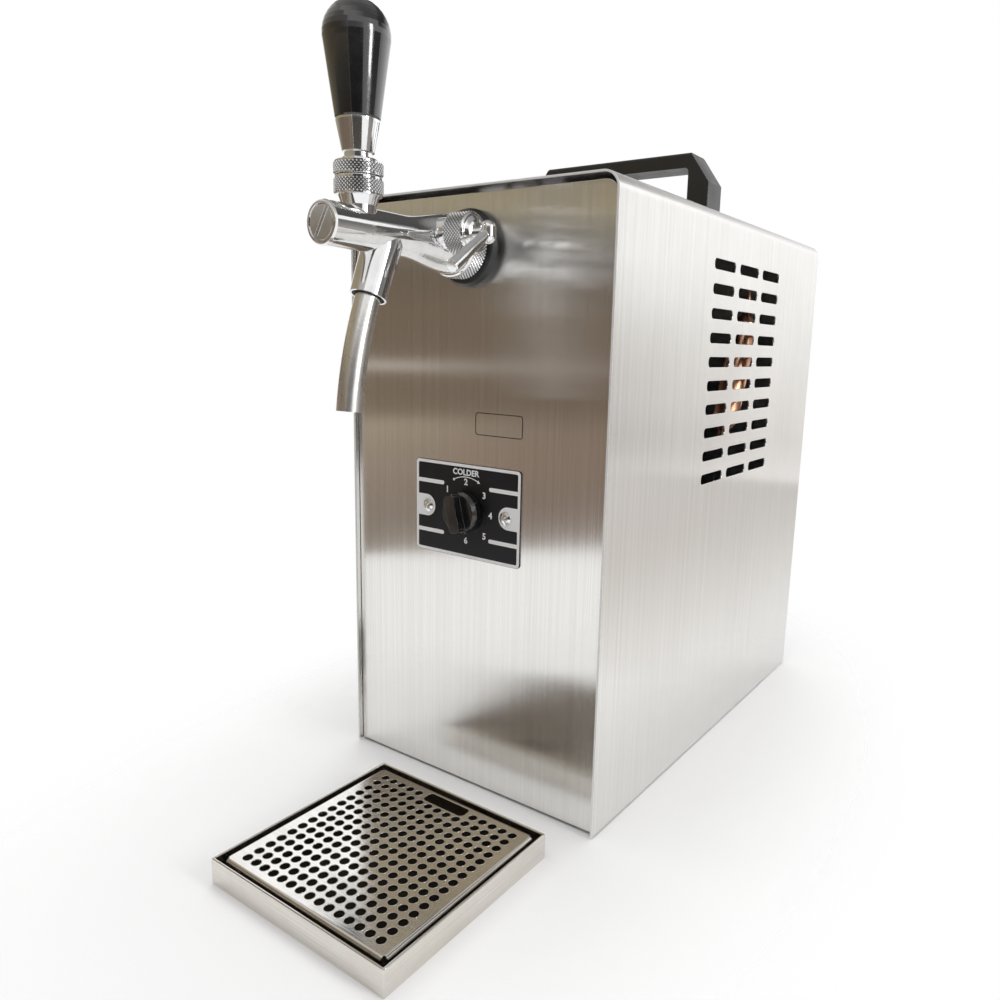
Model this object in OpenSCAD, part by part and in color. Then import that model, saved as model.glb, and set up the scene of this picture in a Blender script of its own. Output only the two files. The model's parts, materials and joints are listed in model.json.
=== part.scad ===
// Counter-top draft beer dispenser: a dry-contact cooler in a folded steel casing,
// a compensator tap on its front and a loose drip tray standing before it.
// +X is the user's right, +Y runs to the back, +Z is up. z = 0 is the counter.

/* [Casing] */
// Width of the folded outer shell
shell_w = 204; // [190:1:230]
// Depth of the outer shell, front edge to back edge
shell_d = 355; // [345:1:400]
// Height of the outer shell
shell_h = 385; // [380:1:430]
// Gap between the counter and the shell's lower edge
shell_lift = 1; // [0.5:0.5:4]
// Sheet thickness of the casing panels
sheet_t = 1.2; // [0.8:0.1:2]
// Outside bend radius of the shell's top corners
shell_corner_r = 10; // [7:0.5:14]
// Distance of the front panel behind the shell's front edge
panel_inset = 3.6; // [2:0.1:6]
// Gap between the front panel's top edge and the shell
panel_top_gap = 3; // [1:0.5:5]
// Gap between a panel's upright edges and the shell
panel_side_gap = 0.5; // [0.3:0.1:1]
// Depth of the front panel's folded flanges
panel_flange = 14; // [8:1:20]
// Width of the shell's folded lip round the rear panel
rear_lip = 14; // [10:1:18]
// Height of the base pan's underside above the counter
base_h = 8; // [6:0.5:14]
// Height of the base pan's folded rim
base_rim = 22; // [14:1:30]
// Radius of a rubber foot
foot_r = 12; // [8:0.5:16]
// Distance of a foot's centre from the casing's side
foot_inset = 24; // [20:1:40]

/* [Side vents] */
// Number of slots in a column
vent_rows = 10; // [6:1:10]
// Number of columns
vent_columns = 3; // [1:1:3]
// Length of a slot
vent_l = 37; // [25:1:40]
// Height of a slot
vent_h = 7; // [5:0.5:9]
// Corner radius of a slot
vent_r = 3; // [1:0.25:3.5]
// Distance from row to row
vent_row_pitch = 16.1; // [12:0.1:18]
// Distance from column to column
vent_column_pitch = 45; // [42:0.5:50]
// Centre of the first column behind the shell's front edge
vent_first_y = 148; // [130:1:160]
// Depth of the top row's centre under the shell's top
vent_drop = 35.5; // [30:0.5:45]

/* [Carry handle] */
// Length over both legs
handle_l = 151.6; // [130:0.2:165]
// Height above the shell
handle_h = 45.4; // [38:0.2:60]
// Depth of the strap, front to back
handle_d = 23; // [16:0.5:30]
// Thickness of the hand bar
handle_bar = 10; // [7:0.5:14]
// Width of a leg
handle_leg = 16; // [12:0.5:20]
// Width of the sloping end
handle_slope_w = 14.8; // [8:0.2:20]
// Height of the sloping end
handle_slope_h = 21; // [10:0.5:26]
// Rounding of the inner corners
handle_inner_r = 3; // [1:0.5:5]
// Chamfer along the outer edges
handle_chamfer = 1.2; // [0.4:0.2:2]
// Middle of the handle behind the shell's front edge
handle_y = 181.5; // [160:0.5:200]
// Radius of a handle screw
handle_screw_r = 2.5; // [2:0.1:3]
// Length of a handle screw above the shell's inside face
handle_screw_l = 18; // [12:0.5:24]

/* [Thermostat] */
// Width of the dial plate
dial_w = 86; // [80:0.5:100]
// Height of the dial plate
dial_h = 61; // [50:0.5:70]
// Thickness of the dial plate
dial_t = 0.8; // [0.5:0.1:1.5]
// Offset of the dial from the casing's middle
dial_x = -2; // [-8:0.5:8]
// Centre of the dial above the counter
dial_z = 188.5; // [170:0.5:210]
// Distance between the two dial screws
dial_screw_gap = 64; // [58:0.5:72]
// Radius of a small screw
small_screw_r = 1.75; // [1.5:0.05:2]
// Radius of the knob's skirt
knob_r = 13.5; // [11:0.25:16]
// Depth of the knob's skirt
knob_skirt = 8; // [6:0.5:10]
// Depth of the knob's grip bar in front of the skirt
knob_grip = 6; // [4:0.5:9]
// Width of the grip bar
knob_grip_w = 8; // [6:0.5:10]
// Gap between the knob and the dial plate
knob_gap = 0.5; // [0.3:0.1:1]
// Direction of the pointer at rest, anticlockwise from the user's right
knob_pointer = 105; // [90:1:180]
// Radius of the thermostat's shaft
knob_shaft_r = 3; // [2.5:0.1:3.5]

/* [Tap] */
// Depth of the tap's axis under the shell's top
tap_drop = 36; // [32:0.5:50]
// Radius of the black rosette
rosette_r = 22.7; // [19:0.1:26]
// Thickness of the rosette
rosette_t = 7; // [4:0.5:9]
// Radius of the threaded shank
shank_r = 11.4; // [10:0.1:12]
// Radius of the beer way through the shank
shank_bore_r = 5; // [4.8:0.1:6]
// Length of the shank behind the front panel
shank_in = 42; // [30:1:48]
// Radius of the knurled union nut
union_r = 18; // [17:0.1:20]
// Length of the union nut
union_l = 13; // [12:0.5:16]
// Radius of the barrel
barrel_r = 11; // [10.5:0.1:12.5]
// Radius of the bell at the union nut
bell_r = 16.5; // [15.5:0.1:17.5]
// Length of the bell
bell_l = 40; // [36:1:44]
// Distance of the barrel's front end from the front panel
barrel_reach = 114.6; // [112:0.2:124]
// Radius of the piston's bore
piston_bore_r = 7.5; // [7:0.1:8]
// Distance of the lever's axis from the front panel
lever_d = 89.6; // [88:0.1:91]
// Height of the lever's pivot over the barrel's axis
pivot_h = 17; // [16:0.1:18]
// Radius of the pivot ball
pivot_ball_r = 6.5; // [6:0.1:6.8]
// Radius of the two knurled rings
ring_r = 11.85; // [11.4:0.05:13]
// Height of the fixed ring's lower face over the barrel's axis
ring_low_h = 15.7; // [15:0.1:16]
// Height of the fixed ring's upper edge over the barrel's axis
ring_mid_h = 24.4; // [24:0.1:26]
// Height of the moving ring's upper face over the barrel's axis
ring_top_h = 33; // [32.6:0.1:36]
// Radius of the lever's rod
lever_rod_r = 3.2; // [2.8:0.1:3.4]
// Height of the ferrule's shoulder over the barrel's axis
ferrule_low_h = 36.4; // [36.1:0.1:39]
// Height of the grip's lower end over the barrel's axis
grip_low_h = 51.6; // [48:0.1:60]
// Radius of the grip's lower end
grip_low_r = 11.35; // [10:0.05:13]
// Radius of the grip's domed head
grip_head_r = 16.8; // [14:0.1:20]
// Height of the grip's top over the barrel's axis
grip_top_h = 107; // [100:0.5:120]
// Pull of the lever towards the user, in degrees
lever_pull = 28; // [15:1:28]
// Push of the lever towards the casing, in degrees
lever_push = 12; // [5:1:12]

/* [Tap outlet] */
// Distance of the outlet branch's root from the front panel
branch_d = 71.3; // [70:0.1:73]
// Forward lean of the branch from the vertical, in degrees
branch_lean = 21; // [18:0.5:22]
// Length of the branch from the barrel's axis
branch_l = 36; // [32:0.5:42]
// Radius of the branch at the barrel
branch_root_r = 10.6; // [9.7:0.1:11]
// Radius of the branch's rim
branch_rim_r = 9.8; // [9.4:0.1:11]
// Outer radius of the spout tube
spout_r = 6.75; // [6:0.05:7]
// Wall of the spout tube
spout_wall = 1.2; // [0.8:0.1:1.6]
// Bend radius of the spout
spout_bend = 233; // [150:1:300]
// Turn of the spout's bend, in degrees
spout_turn = 15; // [8:0.5:18]
// Length of the spout inside the branch
spout_socket = 13; // [10:0.5:14]

/* [Flow control] */
// Distance of the flow lever's axis from the front panel
flow_d = 35.1; // [34:0.1:36]
// Height of the flow lever's axis over the barrel's axis
flow_rise = 3; // [0:0.1:3.5]
// Radius of the boss on the bell
flow_boss_r = 9.5; // [8.5:0.1:9.9]
// Length of the boss from the barrel's axis
flow_boss_l = 16; // [15.5:0.1:18]
// Radius of the knurled gland nut
gland_r = 11; // [9:0.1:11.5]
// Length of the gland nut
gland_l = 17; // [14:0.5:18]
// Radius of the flow lever's stem
flow_stem_r = 3; // [2.8:0.1:3.2]
// Distance of the hub's centre from the barrel's axis
flow_hub_x = 40.4; // [37.5:0.1:42]
// Radius of the upright hub
flow_hub_r = 4.3; // [4:0.1:6.2]
// Length of the hub between its round ends
flow_hub_l = 4; // [3:0.5:6]
// Length of the flow lever's pin from the hub's centre
flow_pin_l = 36; // [25:0.5:38]
// Radius of the flow lever's pin at its outer end
flow_pin_r = 3.6; // [2.5:0.1:4]
// Droop of the pin at rest, in degrees
flow_droop = 35; // [0:1:45]
// Throw of the crank pin that moves the cone
flow_throw = 1.55; // [1.4:0.05:1.6]
// Radius of the crank pin
flow_crank_r = 1.3; // [1:0.05:1.3]
// Gap between the cone and its seat
cone_gap = 0.9; // [0.7:0.05:1.2]

/* [Drip tray] */
// Width of the tray
tray_w = 132; // [110:1:160]
// Depth of the tray
tray_d = 128; // [110:1:140]
// Height of the tray
tray_h = 15.2; // [12:0.2:24]
// Wall of the tray
tray_t = 1.2; // [0.8:0.1:2]
// Gap between the tray and the casing
tray_gap = 31.3; // [20:0.1:60]
// Offset of the tray from the casing's middle
tray_x = 23; // [-30:0.5:30]
// Gap between the grid and the tray's walls
grid_gap = 3; // [1:0.25:5]
// Sheet thickness of the grid
grid_t = 1; // [0.6:0.1:1.5]
// Depth of the grid's top under the tray's rim
grid_drop = 0.2; // [0:0.1:2]
// Number of hole rows each way
grid_holes = 15; // [5:1:15]
// Distance from hole to hole
grid_pitch = 7.35; // [6.8:0.05:7.5]
// Radius of a drain hole
grid_hole_r = 2.7; // [2:0.1:3]
// Length of the grid's finger hole
finger_l = 32; // [22:1:36]
// Width of the grid's finger hole
finger_w = 9; // [6:0.5:9.5]

/* [Cooling] */
// Width of the cooling block
block_w = 124; // [118:1:130]
// Depth of the cooling block
block_d = 70; // [60:1:74]
// Height of the cooling block
block_height = 290; // [270:1:294]
// Thickness of the block's insulation
foam_t = 14; // [8:1:16]
// Distance of the insulation behind the front panel
foam_y = 53.2; // [50:0.1:56]
// Radius of the beer line
beer_r = 4.75; // [4:0.05:4.75]
// Radius of the compressor's can
can_r = 56; // [52:0.5:58]
// Height of the compressor's can
can_h = 137; // [120:1:145]
// Offset of the compressor from the casing's middle
can_x = -28; // [-30:0.5:-26]
// Gap between the compressor and the rear panel
can_gap = 36; // [34:0.5:40]
// Height of the condenser's shelf
shelf_z = 180; // [178:0.5:186]
// Number of tube passes in the condenser
coil_passes = 6; // [4:2:6]
// Distance from pass to pass
coil_pitch = 25; // [22:0.5:25]
// Radius of the condenser's tube
coil_r = 3.5; // [2.5:0.1:4]
// Width of the fin pack across the casing
fin_w = 36; // [30:1:38]
// Length of the fin pack, front to back
fin_l = 120; // [112:1:124]
// Thickness of a fin
fin_t = 0.5; // [0.3:0.1:0.8]
// Number of fins
fin_count = 20; // [8:1:24]
// Radius of the fan's blades
fan_r = 50; // [40:0.5:52]
// Number of blades
fan_blades = 5; // [3:1:7]
// Pitch of a blade, in degrees
fan_pitch = 32; // [15:1:40]
// Radius of the fan's motor
motor_r = 22; // [18:0.5:26]
// Length of the fan's motor
motor_l = 36; // [30:0.5:38]
// Radius of the filter drier
drier_r = 10; // [7:0.5:11]
// Length of the filter drier's body
drier_l = 76; // [60:1:80]
// Backward lean of the filter drier, in degrees
drier_lean = 20; // [10:1:24]
// Middle of the filter drier behind the shell's front edge
drier_y = 219; // [212:1:226]
// Middle of the filter drier above the counter
drier_z = 278; // [274:1:282]
// Radius of the small refrigerant lines
line_r = 3; // [2.5:0.1:3.2]
// Radius of the suction line
suction_r = 4; // [3:0.1:4.5]
// Radius of the capillary tubes
capillary_r = 1.2; // [0.8:0.1:1.4]

/* [Rear connections] */
// Offset of the beer inlet from the casing's middle
inlet_x = 50; // [47:0.5:53]
// Height of the beer inlet above the counter
inlet_z = 50; // [46:0.5:60]
// Radius of the beer tube that the inlet takes
inlet_tube_r = 4.8; // [4:0.05:5]
// Length of the inlet's barrel behind the rear panel
inlet_l = 16; // [15:0.5:20]
// Travel of the release collet
collet_travel = 1.2; // [0.8:0.1:1.4]
// Distance of the mains gland from the shell's inside face
gland_inset = 40.8; // [34.8:0.2:60.8]
// Height of the mains gland above the counter
gland_z = 60; // [50:0.5:75]
// Radius of the mains gland's cable hole
cable_r = 3.6; // [3:0.1:4]
// Length of the mains gland behind the rear panel
gland_reach = 17; // [12:0.5:18]

/* [Clearances] */
// Radial clearance of a fastener or tube in its hole
hole_clear = 0.1; // [0.05:0.05:0.2]
// Radial clearance of a turning or sliding piece
run_clear = 0.05; // [0.02:0.01:0.1]
// Gap round the lever's ball and other swinging pieces
swing_clear = 0.3; // [0.25:0.05:0.4]
// Play of a ball or crank pin in its slot
slot_clear = 0.45; // [0.4:0.05:0.5]

/* [Hidden] */

$fn = 64;
tube_fn = 32;
eps = 0.01;

steel = [0.78, 0.77, 0.75];
chrome = [0.86, 0.87, 0.88];
black = [0.06, 0.06, 0.07];
copper = [0.72, 0.43, 0.27];
zinc = [0.62, 0.64, 0.66];
foam = [0.20, 0.20, 0.21];
rubber = [0.10, 0.10, 0.10];
brass = [0.74, 0.60, 0.33];

// Casing faces, y counted from the shell's front edge
half_in = shell_w / 2 - sheet_t;
shell_top = shell_lift + shell_h;
top_in = shell_top - sheet_t;
panel_back = panel_inset + sheet_t;
panel_half = half_in - panel_side_gap;
panel_low = shell_lift + 1;
panel_high = top_in - panel_top_gap;
rear_out = shell_d - sheet_t;
rear_in = rear_out - sheet_t;
base_top = base_h + sheet_t;
vent_top_z = shell_top - vent_drop;
collet_reach = inlet_l + collet_travel + swing_clear + 2;
gland_x = gland_inset - half_in;

// The part's origin lies under the middle of its whole length
total_l = tray_gap + tray_d + rear_out + collet_reach;
shell_front_y = tray_gap + tray_d - total_l / 2;

// Casing fasteners
screw_hole_r = small_screw_r + hole_clear;
rear_screw_x = half_in - rear_lip / 2;
rear_screw_z = [40, 200, shell_top - 60];
foot_x = half_in - foot_inset;
foot_y = [36, shell_d - 36];
handle_screw_x = (handle_l - handle_leg) / 2;
handle_bore_r = handle_screw_r + hole_clear;

// Tap levels
tap_z = shell_top - tap_drop;
lever_y = panel_inset - lever_d;
seat_d = rosette_t + 6;
flange_d = seat_d + 4;
bell_d = rosette_t + union_l + 0.3;
flange_r = shank_r + 2.8;
collar_r = shank_r + 1.4;
seal_t = 1.5;
cap_sphere_r = norm([ring_r, ring_mid_h - pivot_h]);
ring_sphere_r = cap_sphere_r + swing_clear + 0.1;
socket_r = pivot_ball_r + swing_clear;
finger_r = 2.4;
finger_ball_r = 3.6;
slot_high_h = ring_low_h - 1.7;
slot_low_h = 5;
plug_d = barrel_reach - 7.6;
plug_head_d = barrel_reach - 4.6;
plug_head_r = piston_bore_r + 1.3;
piston_front_d = lever_d + 10.4;
piston_back_d = lever_d - 29.6;
chamber_d = [piston_back_d - 11, piston_back_d];
chamber_r = piston_bore_r + 1.7;
grip_bore_top = grip_low_h + 12;

// Compensator: a conical seat in the bell and a cone that the flow lever moves
seat_front_d = chamber_d[0];
seat_back_d = seat_front_d - 25;
seat_front_r = 8;
seat_back_r = 10.5;
cone_rest = flow_throw * 0.8 * 15 * PI / 180;
flow_y = panel_inset - flow_d;
flow_z = tap_z + flow_rise;
spigot_r = flow_boss_r - 2.5;
spigot_l = flow_boss_l + 8;
gland_start_x = max(flow_boss_l, bell_at(flow_d - gland_r) + 0.2);
gland_end_x = gland_start_x + gland_l;
gland_face_x = gland_end_x - 2.6;
hub_x = max(flow_hub_x, gland_end_x + flow_hub_r + 0.5);
pin_root_r = 0.75 * flow_pin_r;
pin_edge = 0.6;
oring_r = 1.2;
oring_major_r = flow_stem_r + swing_clear + oring_r;

// Outlet branch and spout
branch_dir = [0, -sin(branch_lean), -cos(branch_lean)];
branch_root = [0, panel_inset - branch_d, tap_z];
branch_end = branch_root + branch_l * branch_dir;
spout_oring_r = 0.85;
spout_recess_r = spout_r + 2 * spout_oring_r + 2 * hole_clear;

// Tray, y counted from the shell's front edge
tray_y = -tray_gap - tray_d / 2;
grid_w = tray_w - 2 * tray_t - 2 * grid_gap;
grid_d = tray_d - 2 * tray_t - 2 * grid_gap;
grid_top = tray_h - grid_drop;
grid_half = (grid_holes - 1) / 2;
grid_fold_r = 2.2 * grid_t;
finger_y = grid_half * grid_pitch + 1;

// Cooling circuit
block_y = panel_back + foam_y + foam_t;
foam_back = block_y + block_d + foam_t;
foam_top = base_top + block_height + 2 * foam_t;
block_z = base_top + foam_t;
block_top = block_z + block_height;
beer_up_y = block_y + 0.4 * block_d;
can_y = rear_in - can_gap - can_r;
mount_z = base_top + 9;
foot_t = 3;
can_z = mount_z + foot_t;
can_top = can_z + can_h;
foot_plate = [2 * can_r + 12, 2 * can_r - 22];
grommet_x = can_r - 4;
grommet_y = can_r - 20;
grommet_r = 5;
stub_x = can_x + can_r * 8 / 7;
discharge_y = can_y - 26;
discharge_z = can_z + 0.78 * can_h;
suction_y = can_y - 2;
suction_z = can_z + 0.65 * can_h;
shelf_y = foam_back + 4;
shelf_left = -half_in + 2.8;
shelf_right = 20;
coil_h = coil_passes * coil_pitch;
coil_low = shelf_z + 2;
fin_x = -half_in + 6.8;
coil_x = fin_x + fin_w / 2;
plate_t = 1.5;
fin_y = shelf_y + 18;
coil_front_y = fin_y - plate_t - 1 - coil_pitch / 2;
coil_back_y = fin_y + fin_l + plate_t + 1 + coil_pitch / 2;
coil_end_y = fin_y - plate_t - 4.5;
shroud_x = fin_x + fin_w + 4;
shroud_h = coil_h + 10;
fan_y = fin_y + fin_l / 2;
fan_z = shelf_z + shroud_h / 2;
fan_depth = 14;
motor_x = shroud_x + 24;
motor_back_x = motor_x + motor_l;
fan_shaft_r = 2.5;
top_run_z = shelf_z + coil_h + 20;
line_bend = 8;
line_front_y = coil_end_y - line_bend;
riser_x = stub_x + 2 * line_bend;
liquid_x = coil_x + 10 * line_r;
drier_x = half_in - 14.8;
drier_half = drier_l / 2 + 15;
drier_dir = [0, sin(drier_lean), cos(drier_lean)];
drier_mid = [drier_x, drier_y, drier_z];
drier_low = drier_mid - drier_half * drier_dir;
drier_high = drier_mid + drier_half * drier_dir;
capillary_x = 0.32 * block_w;
capillary_y = block_y + 0.7 * block_d;
suction_x = stub_x + can_r / 4;
suction_drop_y = foam_back + 5.5 * suction_r;
suction_top_z = block_top - 33;
sensor_x = dial_x + 8;
sensor_z = dial_z - 10;
sensor_low_z = 0.68 * dial_z;
body_w = 46;
body_h = 36;
body_d = 28;
lug_h = 18;
lug_t = 2;
bore_depth = 10;

// Helpers

function unit(v) = v / norm(v);
function turn_at(path, i) = acos(unit(path[i] - path[i - 1]) * unit(path[i + 1] - path[i]));
function setback(path, i, bend) = bend * tan(turn_at(path, i) / 2);

// Moves a piece from casing coordinates, y from the shell's front edge, to the part's frame
module from_front() { translate([0, shell_front_y, 0]) children(); }

// Extrudes an outline drawn in x and z along +Y from y0
module along_y(y0, len) { translate([0, y0 + len, 0]) rotate([90, 0, 0]) linear_extrude(len) children(); }

// Extrudes an outline drawn in y and z along +X from x0
module along_x(x0, len) { translate([x0, 0, 0]) rotate([90, 0, 90]) linear_extrude(len) children(); }

// Turns an outline of radius and distance in front of the panel about the barrel's axis
module tap_turned() {
    translate([0, panel_inset, tap_z]) rotate([90, 0, 0]) rotate_extrude() children();
}

// Turns an outline of radius and height over the barrel's axis about the lever's axis
module lever_turned() { translate([0, lever_y, tap_z]) rotate_extrude() children(); }

// Turns an outline of radius and x about the flow lever's axis
module flow_turned() { translate([0, flow_y, flow_z]) rotate([0, 90, 0]) rotate_extrude() children(); }

// Turns an outline of radius and distance behind the rear panel about a rear fitting's axis
module rear_turned(x, z) { translate([x, rear_out, z]) rotate([-90, 0, 0]) rotate_extrude() children(); }

// Rectangle with rounded corners round the origin
module round_rect(w, h, r) {
    square([w - 2 * r, h], center = true);
    square([w, h - 2 * r], center = true);
    for (sx = [-1, 1], sy = [-1, 1]) translate([sx * (w / 2 - r), sy * (h / 2 - r)]) circle(r);
}

// Upright sheet with two rounded upper corners
module arch(half_w, low, high, r) {
    translate([-half_w, low]) square([2 * half_w, high - r - low]);
    translate([-half_w + r, high - r - eps]) square([2 * half_w - 2 * r, r + eps]);
    for (s = [-1, 1]) translate([s * (half_w - r), high - r]) circle(r);
}

// Round bar from point a to point b
module rod_between(a, b, r) {
    d = b - a;
    translate(a) rotate([0, acos(d.z / norm(d)), atan2(d.y, d.x)]) cylinder(r = r, h = norm(d));
}

// Bend of a tube at q on its way from p to s
module elbow(p, q, s, r, bend) {
    u = unit(q - p);
    w = unit(s - q);
    turn = acos(u * w);
    n = unit(w - (u * w) * u);
    c = q - u * bend * tan(turn / 2) + n * bend;
    z = cross(-n, u);
    multmatrix([[-n.x, u.x, z.x, c.x], [-n.y, u.y, z.y, c.y], [-n.z, u.z, z.z, c.z], [0, 0, 0, 1]])
        rotate_extrude(angle = turn) translate([bend, 0]) circle(r);
}

// Tube of straight runs and round bends along a list of points
module tube_run(path, r, bend) {
    last = len(path) - 1;
    for (i = [0 : last - 1]) {
        u = unit(path[i + 1] - path[i]);
        a = i == 0 ? path[0] : path[i] + u * setback(path, i, bend);
        b = i == last - 1 ? path[last] : path[i + 1] - u * setback(path, i + 1, bend);
        if (norm(b - a) > 2 * eps) rod_between(a, b, r, $fn = tube_fn);
    }
    for (i = [1 : 1 : last - 1]) elbow(path[i - 1], path[i], path[i + 1], r, bend, $fn = tube_fn);
}

// Casing

module vent_pattern() {
    for (row = [0 : vent_rows - 1], column = [0 : vent_columns - 1])
        translate([vent_first_y + column * vent_column_pitch, vent_top_z - row * vent_row_pitch])
            round_rect(vent_l, vent_h, vent_r, $fn = 24);
}

module rear_screw_places() {
    for (s = [-1, 1], z = rear_screw_z) translate([s * rear_screw_x, 0, z]) children();
}

module outer_shell() {
    color(steel) from_front() difference() {
        union() {
            along_y(0, shell_d) difference() {
                arch(shell_w / 2, shell_lift, shell_top, shell_corner_r);
                arch(half_in, shell_lift - 1, top_in, shell_corner_r - sheet_t);
            }
            along_y(rear_out, sheet_t) difference() {
                arch(shell_w / 2, shell_lift, shell_top, shell_corner_r);
                arch(half_in - rear_lip, shell_lift - 1, top_in - rear_lip, shell_corner_r / 2);
            }
        }
        along_x(-shell_w, 2 * shell_w) vent_pattern();
        for (s = [-1, 1]) translate([s * handle_screw_x, handle_y, top_in - 1])
            cylinder(r = handle_bore_r, h = sheet_t + 2);
        rear_screw_places() rotate([-90, 0, 0]) cylinder(r = screw_hole_r, h = shell_d + 1, $fn = tube_fn);
    }
}

module front_panel() {
    color(steel) from_front() difference() {
        union() {
            along_y(panel_inset, sheet_t) arch(panel_half, panel_low, panel_high, shell_corner_r - sheet_t);
            for (s = [-1, 1]) along_y(panel_back, panel_flange)
                translate([s * (panel_half - sheet_t / 2), (panel_high + base_h + base_rim) / 2])
                    square([sheet_t, panel_high - base_h - base_rim - 3 * shell_corner_r], center = true);
            along_y(panel_back, panel_flange) translate([0, panel_high - sheet_t / 2])
                square([2 * panel_half - 4 * shell_corner_r, sheet_t], center = true);
        }
        along_y(0, panel_back + 1) {
            translate([0, tap_z]) circle(shank_r + 4 * hole_clear);
            translate([dial_x, dial_z]) circle(knob_shaft_r + 6 * hole_clear);
            for (s = [-1, 1]) translate([dial_x + s * dial_screw_gap / 2, dial_z]) circle(screw_hole_r);
        }
    }
}

module rear_panel() {
    slot = [60, 5];
    slot_rows = 6;
    slot_pitch = 14;
    slot_top = shelf_z - 30;
    color(steel) from_front() along_y(rear_in, sheet_t) difference() {
        arch(panel_half, base_h, top_in - panel_side_gap, shell_corner_r - sheet_t);
        for (row = [0 : slot_rows - 1], s = [-1, 1])
            translate([s * (slot.x + 16) / 2, slot_top - row * slot_pitch])
                round_rect(slot.x, slot.y, slot.y / 2 - eps);
        for (s = [-1, 1], z = rear_screw_z) translate([s * rear_screw_x, z]) circle(screw_hole_r);
        translate([inlet_x, inlet_z]) circle(8 + 2 * hole_clear);
        translate([gland_x, gland_z]) circle(6 + 2 * hole_clear);
    }
}

module base_pan() {
    color(zinc) from_front() {
        translate([-half_in, panel_back, base_h]) cube([2 * half_in, rear_in - panel_back, sheet_t]);
        for (y = [panel_back, rear_in - sheet_t])
            translate([-half_in, y, base_h]) cube([2 * half_in, sheet_t, base_rim]);
        for (x = [-half_in, half_in - sheet_t])
            translate([x, panel_back, base_h]) cube([sheet_t, rear_in - panel_back, base_rim]);
    }
}

module rubber_feet() {
    color(rubber) from_front() for (s = [-1, 1], y = foot_y)
        translate([s * foot_x, y, 0]) cylinder(r1 = foot_r - 1.5, r2 = foot_r, h = base_h);
}

module casing_screws() {
    head = [3.6, 2];
    recess = [head.x * 1.1, head.x * 0.24, head.y * 0.6];
    color(zinc) from_front() rear_screw_places() translate([0, shell_d, 0]) rotate([-90, 0, 0]) difference() {
        rotate_extrude($fn = tube_fn) polygon([[0, -8], [small_screw_r, -8], [small_screw_r, 0],
            [head.x, 0], [head.x, head.y * 0.5], [head.x * 0.6, head.y], [0, head.y]]);
        for (a = [0, 90]) rotate(a) translate([-recess.x / 2, -recess.y / 2, head.y - recess.z])
            cube([recess.x, recess.y, 2 * recess.z]);
    }
}

module carry_handle() {
    half = handle_l / 2;
    top = shell_top + handle_h;
    clear = [handle_l - 2 * handle_leg, handle_h - handle_bar];
    c = handle_chamfer;
    color(black) from_front() difference() {
        intersection() {
            along_y(handle_y - handle_d / 2, handle_d) difference() {
                polygon([[-half, shell_top], [-half, top - handle_slope_h], [handle_slope_w - half, top],
                    [half - handle_slope_w, top], [half, top - handle_slope_h], [half, shell_top]]);
                translate([0, shell_top]) round_rect(clear.x, 2 * clear.y, handle_inner_r);
            }
            along_x(-half, handle_l) translate([handle_y, shell_top]) polygon([
                [-handle_d / 2, 0], [handle_d / 2, 0], [handle_d / 2, handle_h - c],
                [handle_d / 2 - c, handle_h], [c - handle_d / 2, handle_h], [-handle_d / 2, handle_h - c]]);
        }
        for (s = [-1, 1]) translate([s * handle_screw_x, handle_y, shell_top - 1])
            cylinder(r = handle_bore_r, h = handle_screw_l + 1);
    }
}

module handle_screws() {
    head = [4.6, 3];
    color(zinc) from_front() for (s = [-1, 1]) translate([s * handle_screw_x, handle_y, top_in]) {
        cylinder(r = handle_screw_r, h = handle_screw_l, $fn = tube_fn);
        translate([0, 0, -head.y]) cylinder(r = head.x, h = head.y, $fn = tube_fn);
    }
}

// Thermostat

module dial_places() {
    for (s = [-1, 1]) translate([dial_x + s * dial_screw_gap / 2, panel_inset - dial_t, dial_z]) children();
}

module dial_plate() {
    color(black) from_front() along_y(panel_inset - dial_t, dial_t) translate([dial_x, dial_z]) difference() {
        round_rect(dial_w, dial_h, 2.5);
        circle(knob_shaft_r + 6 * hole_clear);
        for (s = [-1, 1]) translate([s * dial_screw_gap / 2, 0]) circle(screw_hole_r);
    }
}

module dial_screws() {
    head = [4.3, 2.2];
    slot = [4.6, 0.9, 1.2];
    reach = dial_t + sheet_t + lug_t;
    color(chrome) from_front() dial_places() rotate([90, 0, 0]) difference() {
        rotate_extrude($fn = tube_fn) polygon([[0, -reach], [small_screw_r, -reach], [small_screw_r, 0],
            [head.x, 0], [head.x, head.y * 0.4], [head.x * 0.62, head.y * 0.9], [0, head.y]]);
        for (a = [35, 125]) rotate([0, 0, a]) translate([0, 0, head.y])
            cube([slot.x, slot.y, 2 * slot.z], center = true);
    }
}

module thermostat_knob() {
    back = dial_t + knob_gap;
    face = back + knob_skirt;
    front = face + knob_grip;
    grip_l = 2 * knob_r - 3;
    color(black) from_front() translate([dial_x, panel_inset, dial_z]) rotate([90, 0, 0]) difference() {
        union() {
            rotate_extrude() polygon([[0, back], [knob_r, back], [knob_r, face - 3],
                [knob_r - 1.2, face], [0, face]]);
            rotate([0, 0, knob_pointer]) translate([0, 0, face - 1]) linear_extrude(front - face + 1)
                round_rect(grip_l, knob_grip_w, knob_grip_w / 2 - 1);
        }
        translate([0, 0, back - 1]) cylinder(r = knob_shaft_r + run_clear, h = front - back - 2, $fn = tube_fn);
    }
}

module thermostat_shaft() {
    front = dial_t + knob_gap + knob_skirt + knob_grip - 4;
    color(zinc) from_front() translate([dial_x, panel_inset, dial_z]) rotate([90, 0, 0]) difference() {
        translate([0, 0, -sheet_t - bore_depth + 1])
            cylinder(r = knob_shaft_r, h = front + sheet_t + bore_depth - 1, $fn = tube_fn);
        translate([-knob_shaft_r, knob_shaft_r - 1, front - 6]) cube([2 * knob_shaft_r, 2, 7]);
    }
}

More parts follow.
